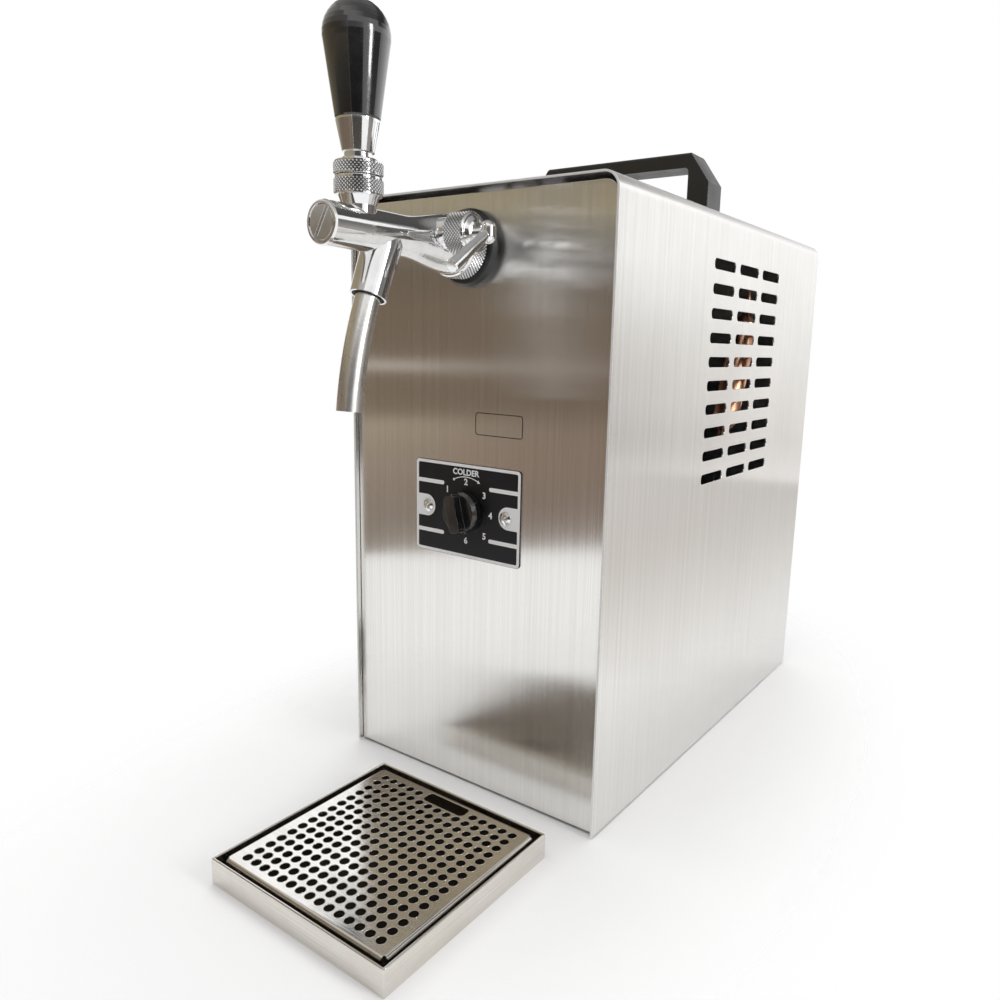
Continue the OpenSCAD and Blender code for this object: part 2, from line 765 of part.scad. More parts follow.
module thermostat_body() {
    color(zinc) from_front() difference() {
        union() {
            along_y(panel_back, body_d) translate([dial_x, dial_z]) round_rect(body_w, body_h, 3);
            along_y(panel_back, lug_t) translate([dial_x, dial_z])
                square([dial_screw_gap + 12, lug_h], center = true);
        }
        along_y(panel_back - 1, bore_depth + 1) translate([dial_x, dial_z])
            circle(knob_shaft_r + run_clear, $fn = tube_fn);
        for (s = [-1, 1]) along_y(panel_back - 1, lug_t + 2)
            translate([dial_x + s * dial_screw_gap / 2, dial_z]) circle(screw_hole_r, $fn = tube_fn);
    }
}

module sensor_capillary() {
    turn_y = panel_back + body_d + 12;
    color(copper) from_front() tube_run([[sensor_x, panel_back + body_d, sensor_z],
        [sensor_x, turn_y, sensor_z], [sensor_x, turn_y, sensor_low_z], [sensor_x, block_y, sensor_low_z]],
        capillary_r, 6);
}

// Tap body and the pieces that hold it on the casing

module tap_rosette() {
    color(black) from_front() tap_turned() polygon([[shank_r + 2 * hole_clear, 0], [rosette_r, 0],
        [rosette_r, rosette_t * 0.6], [rosette_r - 1.8, rosette_t], [shank_r + 2 * hole_clear, rosette_t]]);
}

module tap_shank() {
    color(chrome) from_front() tap_turned() polygon([[shank_bore_r, seat_d], [shank_r, seat_d],
        [shank_r, -shank_in], [shank_bore_r, -shank_in]]);
}

module shank_locknut() {
    color(brass) from_front() translate([0, panel_back, tap_z]) rotate([-90, 0, 0]) difference() {
        cylinder(r = shank_r + 6, h = 7, $fn = 6);
        translate([0, 0, -1]) cylinder(r = shank_r + hole_clear, h = 9);
    }
}

module union_nut() {
    color(chrome) from_front() tap_turned() polygon([[shank_r + hole_clear, rosette_t],
        [union_r - 0.8, rosette_t], [union_r, rosette_t + 0.8], [union_r, rosette_t + union_l - 0.8],
        [union_r - 0.8, rosette_t + union_l], [collar_r + hole_clear, rosette_t + union_l],
        [collar_r + hole_clear, flange_d + hole_clear], [flange_r + swing_clear, flange_d + hole_clear],
        [flange_r + swing_clear, seat_d], [shank_r + hole_clear, seat_d]]);
}

module tap_seal() {
    color(rubber) from_front() tap_turned() polygon([[shank_bore_r + 2, seat_d], [shank_r - hole_clear, seat_d],
        [shank_r - hole_clear, seat_d + seal_t], [shank_bore_r + 2, seat_d + seal_t]]);
}

// Radius of the bell where it stands d in front of the panel
function bell_at(d) = barrel_r + (bell_r - barrel_r) * (1 + cos(180 * (d - bell_d) / bell_l)) / 2;

module tap_outside() {
    bell = [for (i = [0 : 16]) let (d = bell_d + bell_l * i / 16) [bell_at(d), d]];
    tap_turned() polygon(concat([[0, seat_d], [flange_r, seat_d], [flange_r, flange_d], [collar_r, flange_d],
        [collar_r, bell_d]], bell, [[barrel_r, barrel_reach - 1.5], [barrel_r - 0.6, barrel_reach - 0.4],
        [barrel_r - 1.4, barrel_reach], [0, barrel_reach]]));
    lever_turned() polygon([[0, 0], [8.8, 0], [8.8, barrel_r], [ring_r - 1.4, ring_low_h], [0, ring_low_h]]);
    rod_taper(branch_root, branch_end, branch_root_r, branch_rim_r);
    flow_turned() polygon([[0, 0], [flow_boss_r, 0], [flow_boss_r, flow_boss_l], [spigot_r, flow_boss_l],
        [spigot_r, spigot_l], [0, spigot_l]]);
}

// Tapered round bar from point a to point b
module rod_taper(a, b, ra, rb) {
    d = b - a;
    translate(a) rotate([0, acos(d.z / norm(d)), atan2(d.y, d.x)]) cylinder(r1 = ra, r2 = rb, h = norm(d));
}

module finger_slot() {
    reach = [for (h = [slot_high_h, slot_low_h]) let (drop = pivot_h - h)
        [-(drop * tan(lever_push) + finger_r / cos(lever_push) + swing_clear),
            drop * tan(lever_pull) + finger_r / cos(lever_pull) + swing_clear, h]];
    along_x(-finger_r - slot_clear, 2 * (finger_r + slot_clear)) translate([lever_y, tap_z])
        polygon([[reach[0][0], reach[0][2]], [reach[0][1], reach[0][2]],
            [reach[1][1], reach[1][2]], [reach[1][0], reach[1][2]]]);
}

module tap_body() {
    color(chrome) from_front() difference() {
        tap_outside();
        tap_turned() polygon([[0, seat_d - 1], [shank_r, seat_d - 1], [shank_r, seat_d + seal_t],
            [seat_back_r, seat_d + seal_t], [seat_back_r, seat_back_d], [seat_front_r, seat_front_d],
            [chamber_r, seat_front_d], [chamber_r, chamber_d[1]], [piston_bore_r, chamber_d[1]],
            [piston_bore_r, plug_head_d], [plug_head_r + run_clear, plug_head_d],
            [plug_head_r + run_clear, barrel_reach + 1], [0, barrel_reach + 1]]);
        rod_between(branch_root, branch_end + branch_dir, spout_r - spout_wall);
        rod_between(branch_end - (spout_socket + 1) * branch_dir, branch_end + branch_dir, spout_r + hole_clear);
        rod_between(branch_end - 2 * spout_oring_r * branch_dir, branch_end + branch_dir, spout_recess_r);
        translate([0, lever_y, tap_z + pivot_h]) sphere(socket_r);
        finger_slot();
        flow_turned() polygon([[0, 3], [flow_stem_r + run_clear, 3], [flow_stem_r + run_clear, spigot_l - 3],
            [oring_major_r + oring_r + hole_clear, spigot_l - 3],
            [oring_major_r + oring_r + hole_clear, spigot_l + 1], [0, spigot_l + 1]]);
    }
}

module front_plug() {
    slot = [2.2, 1.8];
    face = barrel_reach - 0.4;
    color(chrome) from_front() difference() {
        tap_turned() polygon([[0, plug_d], [piston_bore_r - run_clear, plug_d],
            [piston_bore_r - run_clear, plug_head_d], [plug_head_r, plug_head_d],
            [plug_head_r, face - 0.6], [plug_head_r - 0.6, face], [0, face]]);
        translate([0, panel_inset - face, tap_z]) rotate([0, -58, 0])
            cube([3 * plug_head_r, 2 * slot.y, slot.x], center = true);
    }
}

// Piston valve and its spring

module valve_piston() {
    r = piston_bore_r - run_clear;
    half = finger_ball_r + slot_clear;
    lean = tan(lever_pull) * r + finger_r / cos(lever_pull) + 2 * slot_clear;
    color(brass) from_front() difference() {
        tap_turned() polygon([[0, piston_back_d], [r, piston_back_d], [r, piston_back_d + 4],
            [r / 2, piston_back_d + 4], [r / 2, lever_d - 9.6], [r, lever_d - 9.6],
            [r, piston_front_d], [0, piston_front_d]]);
        along_x(-half, 2 * half) translate([lever_y, tap_z]) polygon([[-half, -half - 0.5],
            [half, -half - 0.5], [half, 3], [half + 1, r + 1], [-lean, r + 1], [-half, 1]]);
    }
}

spring_coil_r = 5;
spring_wire_r = 0.55;
spring_turns = 3;
spring_ring = 8;
spring_sides = 6;
spring_l = plug_d - piston_front_d;

// Point on the spring's wire, a share t of the way along it
function spring_point(t) = let (a = 360 * spring_turns * t)
    [spring_coil_r * cos(a), spring_coil_r * sin(a), spring_wire_r + (spring_l - 2 * spring_wire_r) * t];

function spring_skin(i, k) = let (t = i / (spring_turns * spring_ring), a = 360 * spring_turns * t,
    b = 360 * k / spring_sides) spring_point(t)
    + spring_wire_r * [cos(b) * cos(a), cos(b) * sin(a), sin(b)];

module foam_spring() {
    rings = spring_turns * spring_ring;
    points = [for (i = [0 : rings], k = [0 : spring_sides - 1]) spring_skin(i, k)];
    sides = [for (i = [0 : rings - 1], k = [0 : spring_sides - 1])
        let (n = (k + 1) % spring_sides, a = i * spring_sides, b = a + spring_sides)
        each [[a + k, b + k, b + n], [a + k, b + n, a + n]]];
    first = [for (k = [1 : spring_sides - 2]) [0, k, k + 1]];
    end = rings * spring_sides;
    last = [for (k = [1 : spring_sides - 2]) [end, end + k + 1, end + k]];
    color(zinc) from_front() translate([0, panel_inset - piston_front_d, tap_z]) rotate([90, 0, 0])
        polyhedron(points, concat(sides, first, last));
}

// Pouring lever

module lever_stem() {
    color(chrome) from_front() translate([0, lever_y, tap_z]) {
        translate([0, 0, pivot_h]) sphere(pivot_ball_r);
        translate([0, 0, pivot_h]) cylinder(r = lever_rod_r, h = grip_bore_top - 1 - pivot_h, $fn = tube_fn);
        cylinder(r = finger_r, h = pivot_h, $fn = tube_fn);
        sphere(finger_ball_r);
    }
}

module lever_cap_nut() {
    cone_h = cap_sphere_r + 2;
    cone_r = (lever_rod_r + swing_clear + 0.1) / cos(lever_pull);
    color(chrome) from_front() translate([0, lever_y, tap_z]) difference() {
        intersection() {
            translate([0, 0, ring_low_h]) cylinder(r = ring_r, h = ring_top_h);
            translate([0, 0, pivot_h]) sphere(cap_sphere_r);
        }
        translate([0, 0, pivot_h]) sphere(socket_r);
        translate([0, 0, pivot_h])
            cylinder(r1 = cone_r, r2 = cone_r + cone_h * tan(lever_pull), h = cone_h);
    }
}

module handle_locknut() {
    color(chrome) from_front() difference() {
        lever_turned() polygon([[lever_rod_r + run_clear, pivot_h], [ring_r, pivot_h], [ring_r, ring_top_h - 1.2],
            [ring_r - 1.8, ring_top_h], [lever_rod_r + run_clear, ring_top_h]]);
        translate([0, lever_y, tap_z + pivot_h]) sphere(ring_sphere_r);
    }
}

module handle_ferrule() {
    bore = lever_rod_r + run_clear;
    color(chrome) from_front() lever_turned() polygon([[bore, ring_top_h], [7, ring_top_h], [7, ferrule_low_h - 0.4],
        [8.1, ferrule_low_h], [grip_low_r - 0.3, grip_low_h - 1], [grip_low_r - 0.3, grip_low_h],
        [bore, grip_low_h]]);
}

module tap_handle() {
    bore = lever_rod_r + run_clear;
    head_h = grip_top_h - grip_head_r;
    tangent = 14;
    dome = [for (i = [0 : 12]) let (a = -tangent + (90 + tangent) * i / 12)
        [grip_head_r * cos(a), head_h + grip_head_r * sin(a)]];
    color(black) from_front() lever_turned() polygon(concat([[bore, grip_bore_top], [bore, grip_low_h],
        [grip_low_r - 0.5, grip_low_h], [grip_low_r, grip_low_h + 0.8]], dome, [[0, grip_bore_top]]));
}

// Flow control

module compensator_cone() {
    slope = (seat_back_r - seat_front_r) / (seat_front_d - seat_back_d);
    back = seat_back_d + 2;
    front = seat_front_d - 3;
    half = flow_crank_r + slot_clear;
    color(brass) from_front() difference() {
        tap_turned() polygon([[0, back], [seat_front_r + slope * (seat_front_d - back) - cone_gap, back],
            [seat_front_r + slope * (seat_front_d - front) - cone_gap, front - 1], [5, front], [0, front]]);
        translate([1.6, flow_y + cone_rest - half, flow_z - flow_throw - half - 1])
            cube([20, 2 * half, 2 * (flow_throw + half + 1)]);
    }
}

module flow_lever() {
    hub = [hub_x, flow_y, flow_z];
    arc = [for (i = [0 : 8]) flow_hub_r * [sin(90 * i / 8), cos(90 * i / 8)]];
    crank = [0, flow_y + flow_throw * sin(15), flow_z - flow_throw * cos(15)];
    stem_x = seat_back_r - 0.5;
    color(chrome) from_front() {
        rod_between([stem_x, flow_y, flow_z], hub, flow_stem_r, $fn = tube_fn);
        rod_between(crank + [2.6, 0, 0], crank + [stem_x + 1, 0, 0], flow_crank_r, $fn = tube_fn);
        translate(hub) rotate_extrude() polygon(concat([for (p = arc) [p.x, p.y + flow_hub_l / 2]],
            [for (i = [8 : -1 : 0]) [arc[i].x, -arc[i].y - flow_hub_l / 2]]));
        translate(hub) rotate([90 + flow_droop, 0, 0]) rotate_extrude($fn = tube_fn) polygon([[0, 0],
            [pin_root_r, 0], [flow_pin_r, flow_pin_l - pin_edge], [flow_pin_r - pin_edge, flow_pin_l],
            [0, flow_pin_l]]);
    }
}

module flow_gland_nut() {
    start = gland_start_x;
    face = gland_face_x;
    bore = flow_stem_r + run_clear;
    color(chrome) from_front() flow_turned() polygon([[spigot_r + hole_clear, start],
        [gland_r - 0.6, start], [gland_r, start + 0.6], [gland_r, face - 0.8], [gland_r - 0.8, face],
        [gland_r - 2, face], [gland_r - 2.6, face + 0.8], [gland_r - 4, face + 2],
        [gland_r - 5.4, gland_end_x], [bore, gland_end_x], [bore, spigot_l + 0.2],
        [spigot_r + hole_clear, spigot_l + 0.2]]);
}

module gland_oring() {
    color(rubber) from_front() flow_turned() translate([oring_major_r, spigot_l - 1.6])
        circle(oring_r, $fn = tube_fn);
}

// Outlet

module spout_ring() {
    difference() {
        circle(spout_r);
        circle(spout_r - spout_wall);
    }
}

module spout() {
    color(steel) from_front() translate(branch_end) rotate([-branch_lean, 0, 0]) {
        linear_extrude(spout_socket) spout_ring();
        multmatrix([[0, 0, 1, 0], [-1, 0, 0, spout_bend], [0, -1, 0, 0], [0, 0, 0, 1]])
            rotate_extrude(angle = spout_turn) translate([spout_bend, 0]) spout_ring();
    }
}

module spout_oring() {
    color(rubber) from_front() translate(branch_end - spout_oring_r * branch_dir) rotate([-branch_lean, 0, 0])
        rotate_extrude() translate([spout_r + hole_clear + spout_oring_r, 0]) circle(spout_oring_r, $fn = 24);
}

// Drip tray

module drip_tray() {
    color(steel) from_front() translate([tray_x, tray_y, 0]) difference() {
        translate([-tray_w / 2, -tray_d / 2, 0]) cube([tray_w, tray_d, tray_h]);
        translate([tray_t - tray_w / 2, tray_t - tray_d / 2, tray_t])
            cube([tray_w - 2 * tray_t, tray_d - 2 * tray_t, tray_h]);
    }
}

module grid_sheet() {
    difference() {
        square([grid_w - 2 * grid_fold_r, grid_d - 2 * grid_fold_r], center = true);
        for (i = [-grid_half : grid_half], j = [-grid_half : grid_half])
            if (j < grid_half - eps || abs(i * grid_pitch) > finger_l / 2 + grid_hole_r + 0.5)
                translate([i * grid_pitch, j * grid_pitch]) circle(grid_hole_r, $fn = 24);
        translate([0, finger_y]) round_rect(finger_l, finger_w, 3, $fn = tube_fn);
    }
}

// Sheet edge bent down over a round tool, from the flat sheet out to the leg
module fold_outline() {
    bend_h = grid_top - tray_t - grid_fold_r;
    difference() {
        union() {
            translate([0, bend_h]) intersection() {
                circle(grid_fold_r);
                square(grid_fold_r);
            }
            translate([-grid_t, bend_h + grid_fold_r - grid_t]) square(grid_t);
            translate([grid_fold_r - grid_t, 0]) square([grid_t, bend_h]);
        }
        translate([0, bend_h]) circle(grid_fold_r - grid_t);
    }
}

module grid_fold(reach, run) {
    translate([reach - grid_fold_r, 0, tray_t]) rotate([90, 0, 0])
        linear_extrude(run, center = true) fold_outline();
}

module drip_grid() {
    notch = grid_fold_r + 0.4;
    color(steel) from_front() translate([tray_x, tray_y, 0]) {
        translate([0, 0, grid_top - grid_t]) linear_extrude(grid_t) grid_sheet();
        for (a = [0, 180]) rotate(a) {
            grid_fold(grid_w / 2, grid_d - 2 * notch);
            rotate(90) grid_fold(grid_d / 2, grid_w - 2 * notch);
        }
    }
}

// Cooling block and beer way

module cooling_block() {
    color(zinc) from_front() translate([-block_w / 2, block_y, block_z]) cube([block_w, block_d, block_height]);
}

module block_insulation() {
    color(foam) from_front() difference() {
        translate([-block_w / 2 - foam_t, block_y - foam_t, base_top])
            cube([block_w + 2 * foam_t, block_d + 2 * foam_t, foam_top - base_top]);
        translate([-block_w / 2, block_y, block_z]) cube([block_w, block_d, block_height]);
        translate([0, beer_up_y, block_top - 1]) cylinder(r = beer_r + 4 * hole_clear, h = foam_t + 2);
        translate([capillary_x, capillary_y, block_top - 1])
            cylinder(r = capillary_r + 4 * hole_clear, h = foam_t + 2, $fn = tube_fn);
        along_y(block_y + block_d - 1, foam_t + 2) {
            translate([inlet_x, inlet_z]) circle(beer_r + 4 * hole_clear);
            translate([suction_x, suction_top_z]) circle(suction_r + 4 * hole_clear);
        }
        along_y(block_y - foam_t - 1, foam_t + 2) translate([sensor_x, sensor_low_z])
            circle(capillary_r + 4 * hole_clear, $fn = tube_fn);
    }
}

module beer_outlet_line() {
    color(steel) from_front() tube_run([[0, beer_up_y, block_top], [0, beer_up_y, tap_z],
        [0, panel_inset + shank_in - 10, tap_z]], beer_r, 14);
}

module beer_inlet_line() {
    color(steel) from_front() rod_between([inlet_x, block_y + block_d, inlet_z], [inlet_x, rear_out - 14, inlet_z],
        beer_r, $fn = tube_fn);
}

// Refrigeration

module compressor_feet() {
    for (sx = [-1, 1], sy = [-1, 1]) translate([can_x + sx * grommet_x, can_y + sy * grommet_y, 0]) children();
}

module compressor() {
    seam = can_z + can_h * 0.54;
    stub_r = suction_r + 1;
    color(black) from_front() {
        difference() {
            translate([can_x, can_y, mount_z]) linear_extrude(foot_t) round_rect(foot_plate.x, foot_plate.y, 8);
            compressor_feet() translate([0, 0, mount_z - 1])
                cylinder(r = grommet_r + hole_clear, h = foot_t + 2, $fn = tube_fn);
        }
        translate([can_x, can_y, 0]) rotate_extrude() polygon([[0, can_z], [can_r - 18, can_z],
            [can_r - 6, can_z + 5], [can_r, can_z + 16], [can_r, seam - 2], [can_r + 2.5, seam - 1],
            [can_r + 2.5, seam + 2], [can_r, seam + 3], [can_r, can_top - 28], [can_r - 3, can_top - 16],
            [can_r - 12, can_top - 7], [can_r - 28, can_top - 2], [0, can_top]]);
        rod_between([can_x, discharge_y, discharge_z], [stub_x, discharge_y, discharge_z],
            stub_r - 1, $fn = tube_fn);
        rod_between([can_x, suction_y, suction_z], [stub_x, suction_y, suction_z], stub_r, $fn = tube_fn);
    }
}

module compressor_grommets() {
    color(rubber) from_front() compressor_feet() rotate_extrude($fn = tube_fn) polygon([[0, base_top], [8, base_top],
        [8, mount_z], [grommet_r, mount_z], [grommet_r, can_z], [7.5, can_z], [6.5, can_z + 3], [0, can_z + 3]]);
}

module terminal_cover() {
    box = can_r * [0.46, 0.71, 0.82];
    turn = 55;
    color(black) from_front() translate([can_x, can_y, can_z + 0.35 * can_h]) difference() {
        rotate([0, 0, turn]) translate([can_r - 6, -box.y / 2, 0]) cube(box);
        translate([0, 0, -1]) cylinder(r = can_r + 2.5 + swing_clear, h = box.z + 2);
    }
}

module condenser_shelf() {
    w = shelf_right - shelf_left;
    color(zinc) from_front() {
        translate([shelf_left, shelf_y, base_top]) cube([w, sheet_t, shelf_z - base_top]);
        translate([shelf_left, shelf_y, shelf_z - sheet_t]) cube([w, rear_in - shelf_y, sheet_t]);
        translate([shelf_left, rear_in - sheet_t, shelf_z - 20]) cube([w, sheet_t, 20]);
    }
}

module pass_places() {
    for (i = [0 : coil_passes - 1]) translate([coil_x, coil_low + coil_pitch * (i + 0.5)]) children();
}

module condenser_end_plates() {
    color(zinc) from_front() for (y = [fin_y - plate_t, fin_y + fin_l]) along_y(y, plate_t) difference() {
        translate([fin_x, shelf_z]) square([shroud_x - fin_x, shroud_h]);
        pass_places() circle(coil_r + hole_clear, $fn = tube_fn);
    }
}

module condenser_fins() {
    pitch = fin_l / fin_count;
    color(zinc) from_front() for (i = [0 : fin_count - 1]) along_y(fin_y + pitch * (i + 0.5) - fin_t / 2, fin_t)
        difference() {
            translate([fin_x, coil_low]) square([fin_w, coil_h]);
            pass_places() circle(coil_r + hole_clear, $fn = tube_fn);
        }
}

function pass_z(i) = coil_low + coil_pitch * (i + 0.5);

module condenser_coil() {
    top = coil_passes - 1;
    turns = [for (i = [top : -1 : 1]) let (y = (top - i) % 2 == 0 ? coil_back_y : coil_front_y)
        each [[coil_x, y, pass_z(i)], [coil_x, y, pass_z(i - 1)]]];
    color(copper) from_front() tube_run(concat([[coil_x, coil_end_y, pass_z(top)]], turns,
        [[coil_x, coil_end_y, pass_z(0)]]), coil_r, coil_pitch / 2);
}

module fan_shroud() {
    ring = fan_r + 3;
    color(zinc) from_front() {
        along_x(shroud_x, sheet_t) difference() {
            translate([fin_y - plate_t, shelf_z]) square([fin_l + 2 * plate_t, shroud_h]);
            translate([fan_y, fan_z]) circle(ring);
        }
        along_x(shroud_x, fan_depth + 4) translate([fan_y, fan_z]) difference() {
            circle(ring + sheet_t);
            circle(ring);
        }
    }
}

module fan_motor() {
    color(black) from_front() translate([motor_x, fan_y, fan_z]) rotate([0, 90, 0]) difference() {
        rotate_extrude() polygon([[0, 0], [motor_r - 8, 0], [motor_r - 8, 4], [motor_r, 6],
            [motor_r, motor_l - 4], [motor_r - 3, motor_l], [0, motor_l]]);
        translate([0, 0, -1]) cylinder(r = fan_shaft_r + run_clear, h = 13, $fn = tube_fn);
    }
}

module motor_bracket() {
    half = motor_r + 3;
    color(zinc) from_front() {
        along_x(motor_back_x, sheet_t) translate([fan_y - half, shelf_z])
            square([2 * half, fan_z + motor_r + 4 - shelf_z]);
        translate([motor_back_x, fan_y - half, shelf_z]) cube([shelf_right - motor_back_x, 2 * half, sheet_t]);
    }
}

module fan_rotor() {
    hub_r = 14;
    color(black) from_front() translate([shroud_x + 4, fan_y, fan_z]) rotate([0, 90, 0]) {
        cylinder(r = hub_r, h = fan_depth);
        cylinder(r = fan_shaft_r, h = motor_x - shroud_x + 6, $fn = tube_fn);
        intersection() {
            cylinder(r = fan_r, h = fan_depth);
            for (i = [0 : fan_blades - 1]) rotate([0, 0, 360 * i / fan_blades])
                translate([hub_r - 2, 0, fan_depth / 2]) rotate([fan_pitch, 0, 0])
                    translate([0, -16, -0.8]) cube([fan_r, 32, 1.6]);
        }
    }
}

module filter_drier() {
    color(copper) from_front() translate(drier_mid) rotate([-drier_lean, 0, 0]) rotate_extrude()
        polygon([[0, -drier_half], [line_r, -drier_half], [line_r, -drier_half + 5],
            [drier_r, -drier_l / 2], [drier_r, drier_l / 2], [line_r, drier_half - 5],
            [line_r, drier_half], [0, drier_half]]);
}

module discharge_line() {
    z = discharge_z;
    top = pass_z(coil_passes - 1);
    color(copper) from_front() tube_run([[stub_x, discharge_y, z], [riser_x, discharge_y, z],
        [riser_x, discharge_y, top_run_z], [coil_x, discharge_y, top_run_z], [coil_x, line_front_y, top_run_z],
        [coil_x, line_front_y, top], [coil_x, coil_end_y, top]], line_r, line_bend);
}

module liquid_line() {
    z = pass_z(0);
    corner = drier_low - drier_dir * line_bend * tan((90 - drier_lean) / 2);
    color(copper) from_front() tube_run([[coil_x, coil_end_y, z], [coil_x, line_front_y, z],
        [liquid_x, line_front_y, z], [liquid_x, line_front_y, corner.z], [drier_x, line_front_y, corner.z],
        corner, drier_low], line_r, line_bend);
}

module capillary_tube() {
    low = drier_high + [0, 0, swing_clear];
    color(copper) from_front() tube_run([low, [drier_x, low.y, top_run_z], [drier_x, capillary_y, top_run_z],
        [capillary_x, capillary_y, top_run_z], [capillary_x, capillary_y, block_top]], capillary_r, line_bend);
}

module suction_line() {
    color(copper) from_front() tube_run([[suction_x, block_y + block_d, suction_top_z],
        [suction_x, suction_drop_y, suction_top_z], [suction_x, suction_drop_y, suction_z],
        [suction_x, suction_y, suction_z], [stub_x, suction_y, suction_z]], suction_r, 10);
}

// Rear connections

module hex_nut(x, z, r, bore, h) {
    translate([x, rear_in, z]) rotate([90, 0, 0]) difference() {
        cylinder(r = r, h = h, $fn = 6);
        translate([0, 0, -1]) cylinder(r = bore, h = h + 2);
    }
}

module inlet_fitting() {
    pocket_r = inlet_tube_r + 1.7 + run_clear;
    color(zinc) from_front() {
        rear_turned(inlet_x, inlet_z) polygon([[beer_r - 1.2, -14], [8, -14], [8, 0], [11, 0], [11, 3],
            [pocket_r + 2.4, 3], [pocket_r + 2.4, inlet_l], [pocket_r, inlet_l], [pocket_r, 2],
            [inlet_tube_r, 2], [inlet_tube_r, -6], [beer_r - 1.2, -6]]);
        hex_nut(inlet_x, inlet_z, 12.5, 8 + hole_clear, 5);
    }
}

module inlet_collet() {
    r = inlet_tube_r + 1.7;
    flange = collet_reach - 2;
    color(black) from_front() rear_turned(inlet_x, inlet_z) polygon([[inlet_tube_r, 6], [r, 6], [r, flange],
        [r + 2, flange], [r + 2, collet_reach], [inlet_tube_r, collet_reach]]);
}

module inlet_oring() {
    color(rubber) from_front() rear_turned(inlet_x, inlet_z) translate([inlet_tube_r + 0.9, 2.85])
        circle(0.8, $fn = 24);
}

module mains_gland() {
    color(black) from_front() {
        rear_turned(gland_x, gland_z) polygon([[cable_r, -12], [6, -12], [6, 0], [10, 0], [10, 4], [9, 4],
            [9, gland_reach - 5], [cable_r + 2, gland_reach], [cable_r, gland_reach]]);
        hex_nut(gland_x, gland_z, 10.5, 6 + hole_clear, 4);
    }
}

outer_shell();
front_panel();
rear_panel();
base_pan();
rubber_feet();
casing_screws();
carry_handle();
handle_screws();
dial_plate();
dial_screws();
thermostat_knob();
thermostat_shaft();
thermostat_body();
sensor_capillary();
tap_rosette();
tap_shank();
shank_locknut();
union_nut();
tap_seal();
tap_body();
front_plug();
foam_spring();
valve_piston();
lever_stem();
lever_cap_nut();
handle_locknut();
handle_ferrule();
tap_handle();
compensator_cone();
flow_lever();
flow_gland_nut();
gland_oring();
spout();
spout_oring();
drip_tray();
drip_grid();
cooling_block();
block_insulation();
beer_outlet_line();
beer_inlet_line();
compressor();
compressor_grommets();
terminal_cover();
condenser_shelf();
condenser_end_plates();
condenser_fins();
condenser_coil();
fan_shroud();
fan_motor();
motor_bracket();
fan_rotor();
filter_drier();
discharge_line();
liquid_line();
capillary_tube();
suction_line();
inlet_fitting();
inlet_collet();
inlet_oring();
mains_gland();
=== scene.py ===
# %% [markdown]
# # A counter-top beer cooler, dressed for its portrait
#
# The solids of this cooler come ready packed: a folded steel casing, a chromed tap, a dial and a drip tray,
# each piece in its place and riding on the body that moves it. Blender gives them what a solid lacks: brushed
# and plated metal, moulded plastic, knurls, the print on the dial, a floor and soft light. Nothing that was
# packed is moved.

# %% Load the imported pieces
import json
import math

import bmesh
import bpy
from mathutils import Matrix, Vector


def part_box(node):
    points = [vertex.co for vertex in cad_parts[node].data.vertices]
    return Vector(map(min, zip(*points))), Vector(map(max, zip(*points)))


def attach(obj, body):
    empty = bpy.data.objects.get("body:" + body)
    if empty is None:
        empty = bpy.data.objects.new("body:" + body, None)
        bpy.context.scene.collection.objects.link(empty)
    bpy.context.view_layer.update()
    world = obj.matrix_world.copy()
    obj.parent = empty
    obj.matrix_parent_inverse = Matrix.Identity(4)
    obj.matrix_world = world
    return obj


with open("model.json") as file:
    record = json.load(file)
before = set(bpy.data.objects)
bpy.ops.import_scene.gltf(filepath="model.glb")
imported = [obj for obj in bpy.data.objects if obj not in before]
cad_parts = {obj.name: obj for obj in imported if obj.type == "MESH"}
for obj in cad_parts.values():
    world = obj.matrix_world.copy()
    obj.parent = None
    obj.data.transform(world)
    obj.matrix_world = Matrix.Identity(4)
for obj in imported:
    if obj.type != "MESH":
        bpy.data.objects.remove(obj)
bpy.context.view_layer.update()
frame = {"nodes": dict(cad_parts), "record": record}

MM = 0.001
cad_nodes = frame["nodes"]
scene = bpy.context.scene
scene.view_settings.view_transform = "Standard"
for plain in list(bpy.data.materials):
    bpy.data.materials.remove(plain)

# %% [markdown]
# ## The camera
#
# The picture was taken from the right, a little above the dial, with a wide lens held close. Such a lens
# makes the near corner large and the uprights lean. A camera turned by eye would never quite fit, so its
# three axes and its place were worked out from the casing's edges, and the render can be laid over the
# picture. A small shift takes the place of cropping.

# %% Camera at the picture's place
RIGHT = Vector((0.81898455, 0.5731572, 0.02747963))
UP = Vector((-0.12805411, 0.13587535, 0.98241541))
BACK = Vector((0.55934466, -0.80810192, 0.18467495))
EYE = Vector((0.3207, -0.4873, 0.2939))
DIAL_SPOT = Vector((0, -0.1, 0.19))

lens = bpy.data.cameras.new("portrait_camera")
lens.sensor_fit = "HORIZONTAL"
lens.sensor_width = 36
lens.lens = 28.71
lens.shift_x = -0.0405
lens.shift_y = -0.0044
lens.clip_start = 0.01
camera = bpy.data.objects.new("portrait_camera", lens)
stand = Matrix((RIGHT, UP, BACK)).transposed().to_4x4()
stand.translation = EYE
camera.matrix_world = stand
scene.collection.objects.link(camera)
scene.camera = camera
print("camera stands", round((EYE - DIAL_SPOT).length, 3), "m from the dial")

# %% [markdown]
# ## Wiring nodes in few words
#
# A material is a small machine of nodes. Making each node by hand takes many lines, so a few helpers do it:
# `feed` fills a node's inputs with values or wires, `put` adds a node and feeds it, and the others are short
# names for the nodes that come up all the time. All later steps use them.

# %% Helpers that add and wire nodes
def feed(tree, made, ins):
    # Each input takes a plain value or another node's output
    for key, value in ins.items():
        if isinstance(value, bpy.types.NodeSocket):
            tree.links.new(value, made.inputs[key])
        else:
            made.inputs[key].default_value = value
    return made


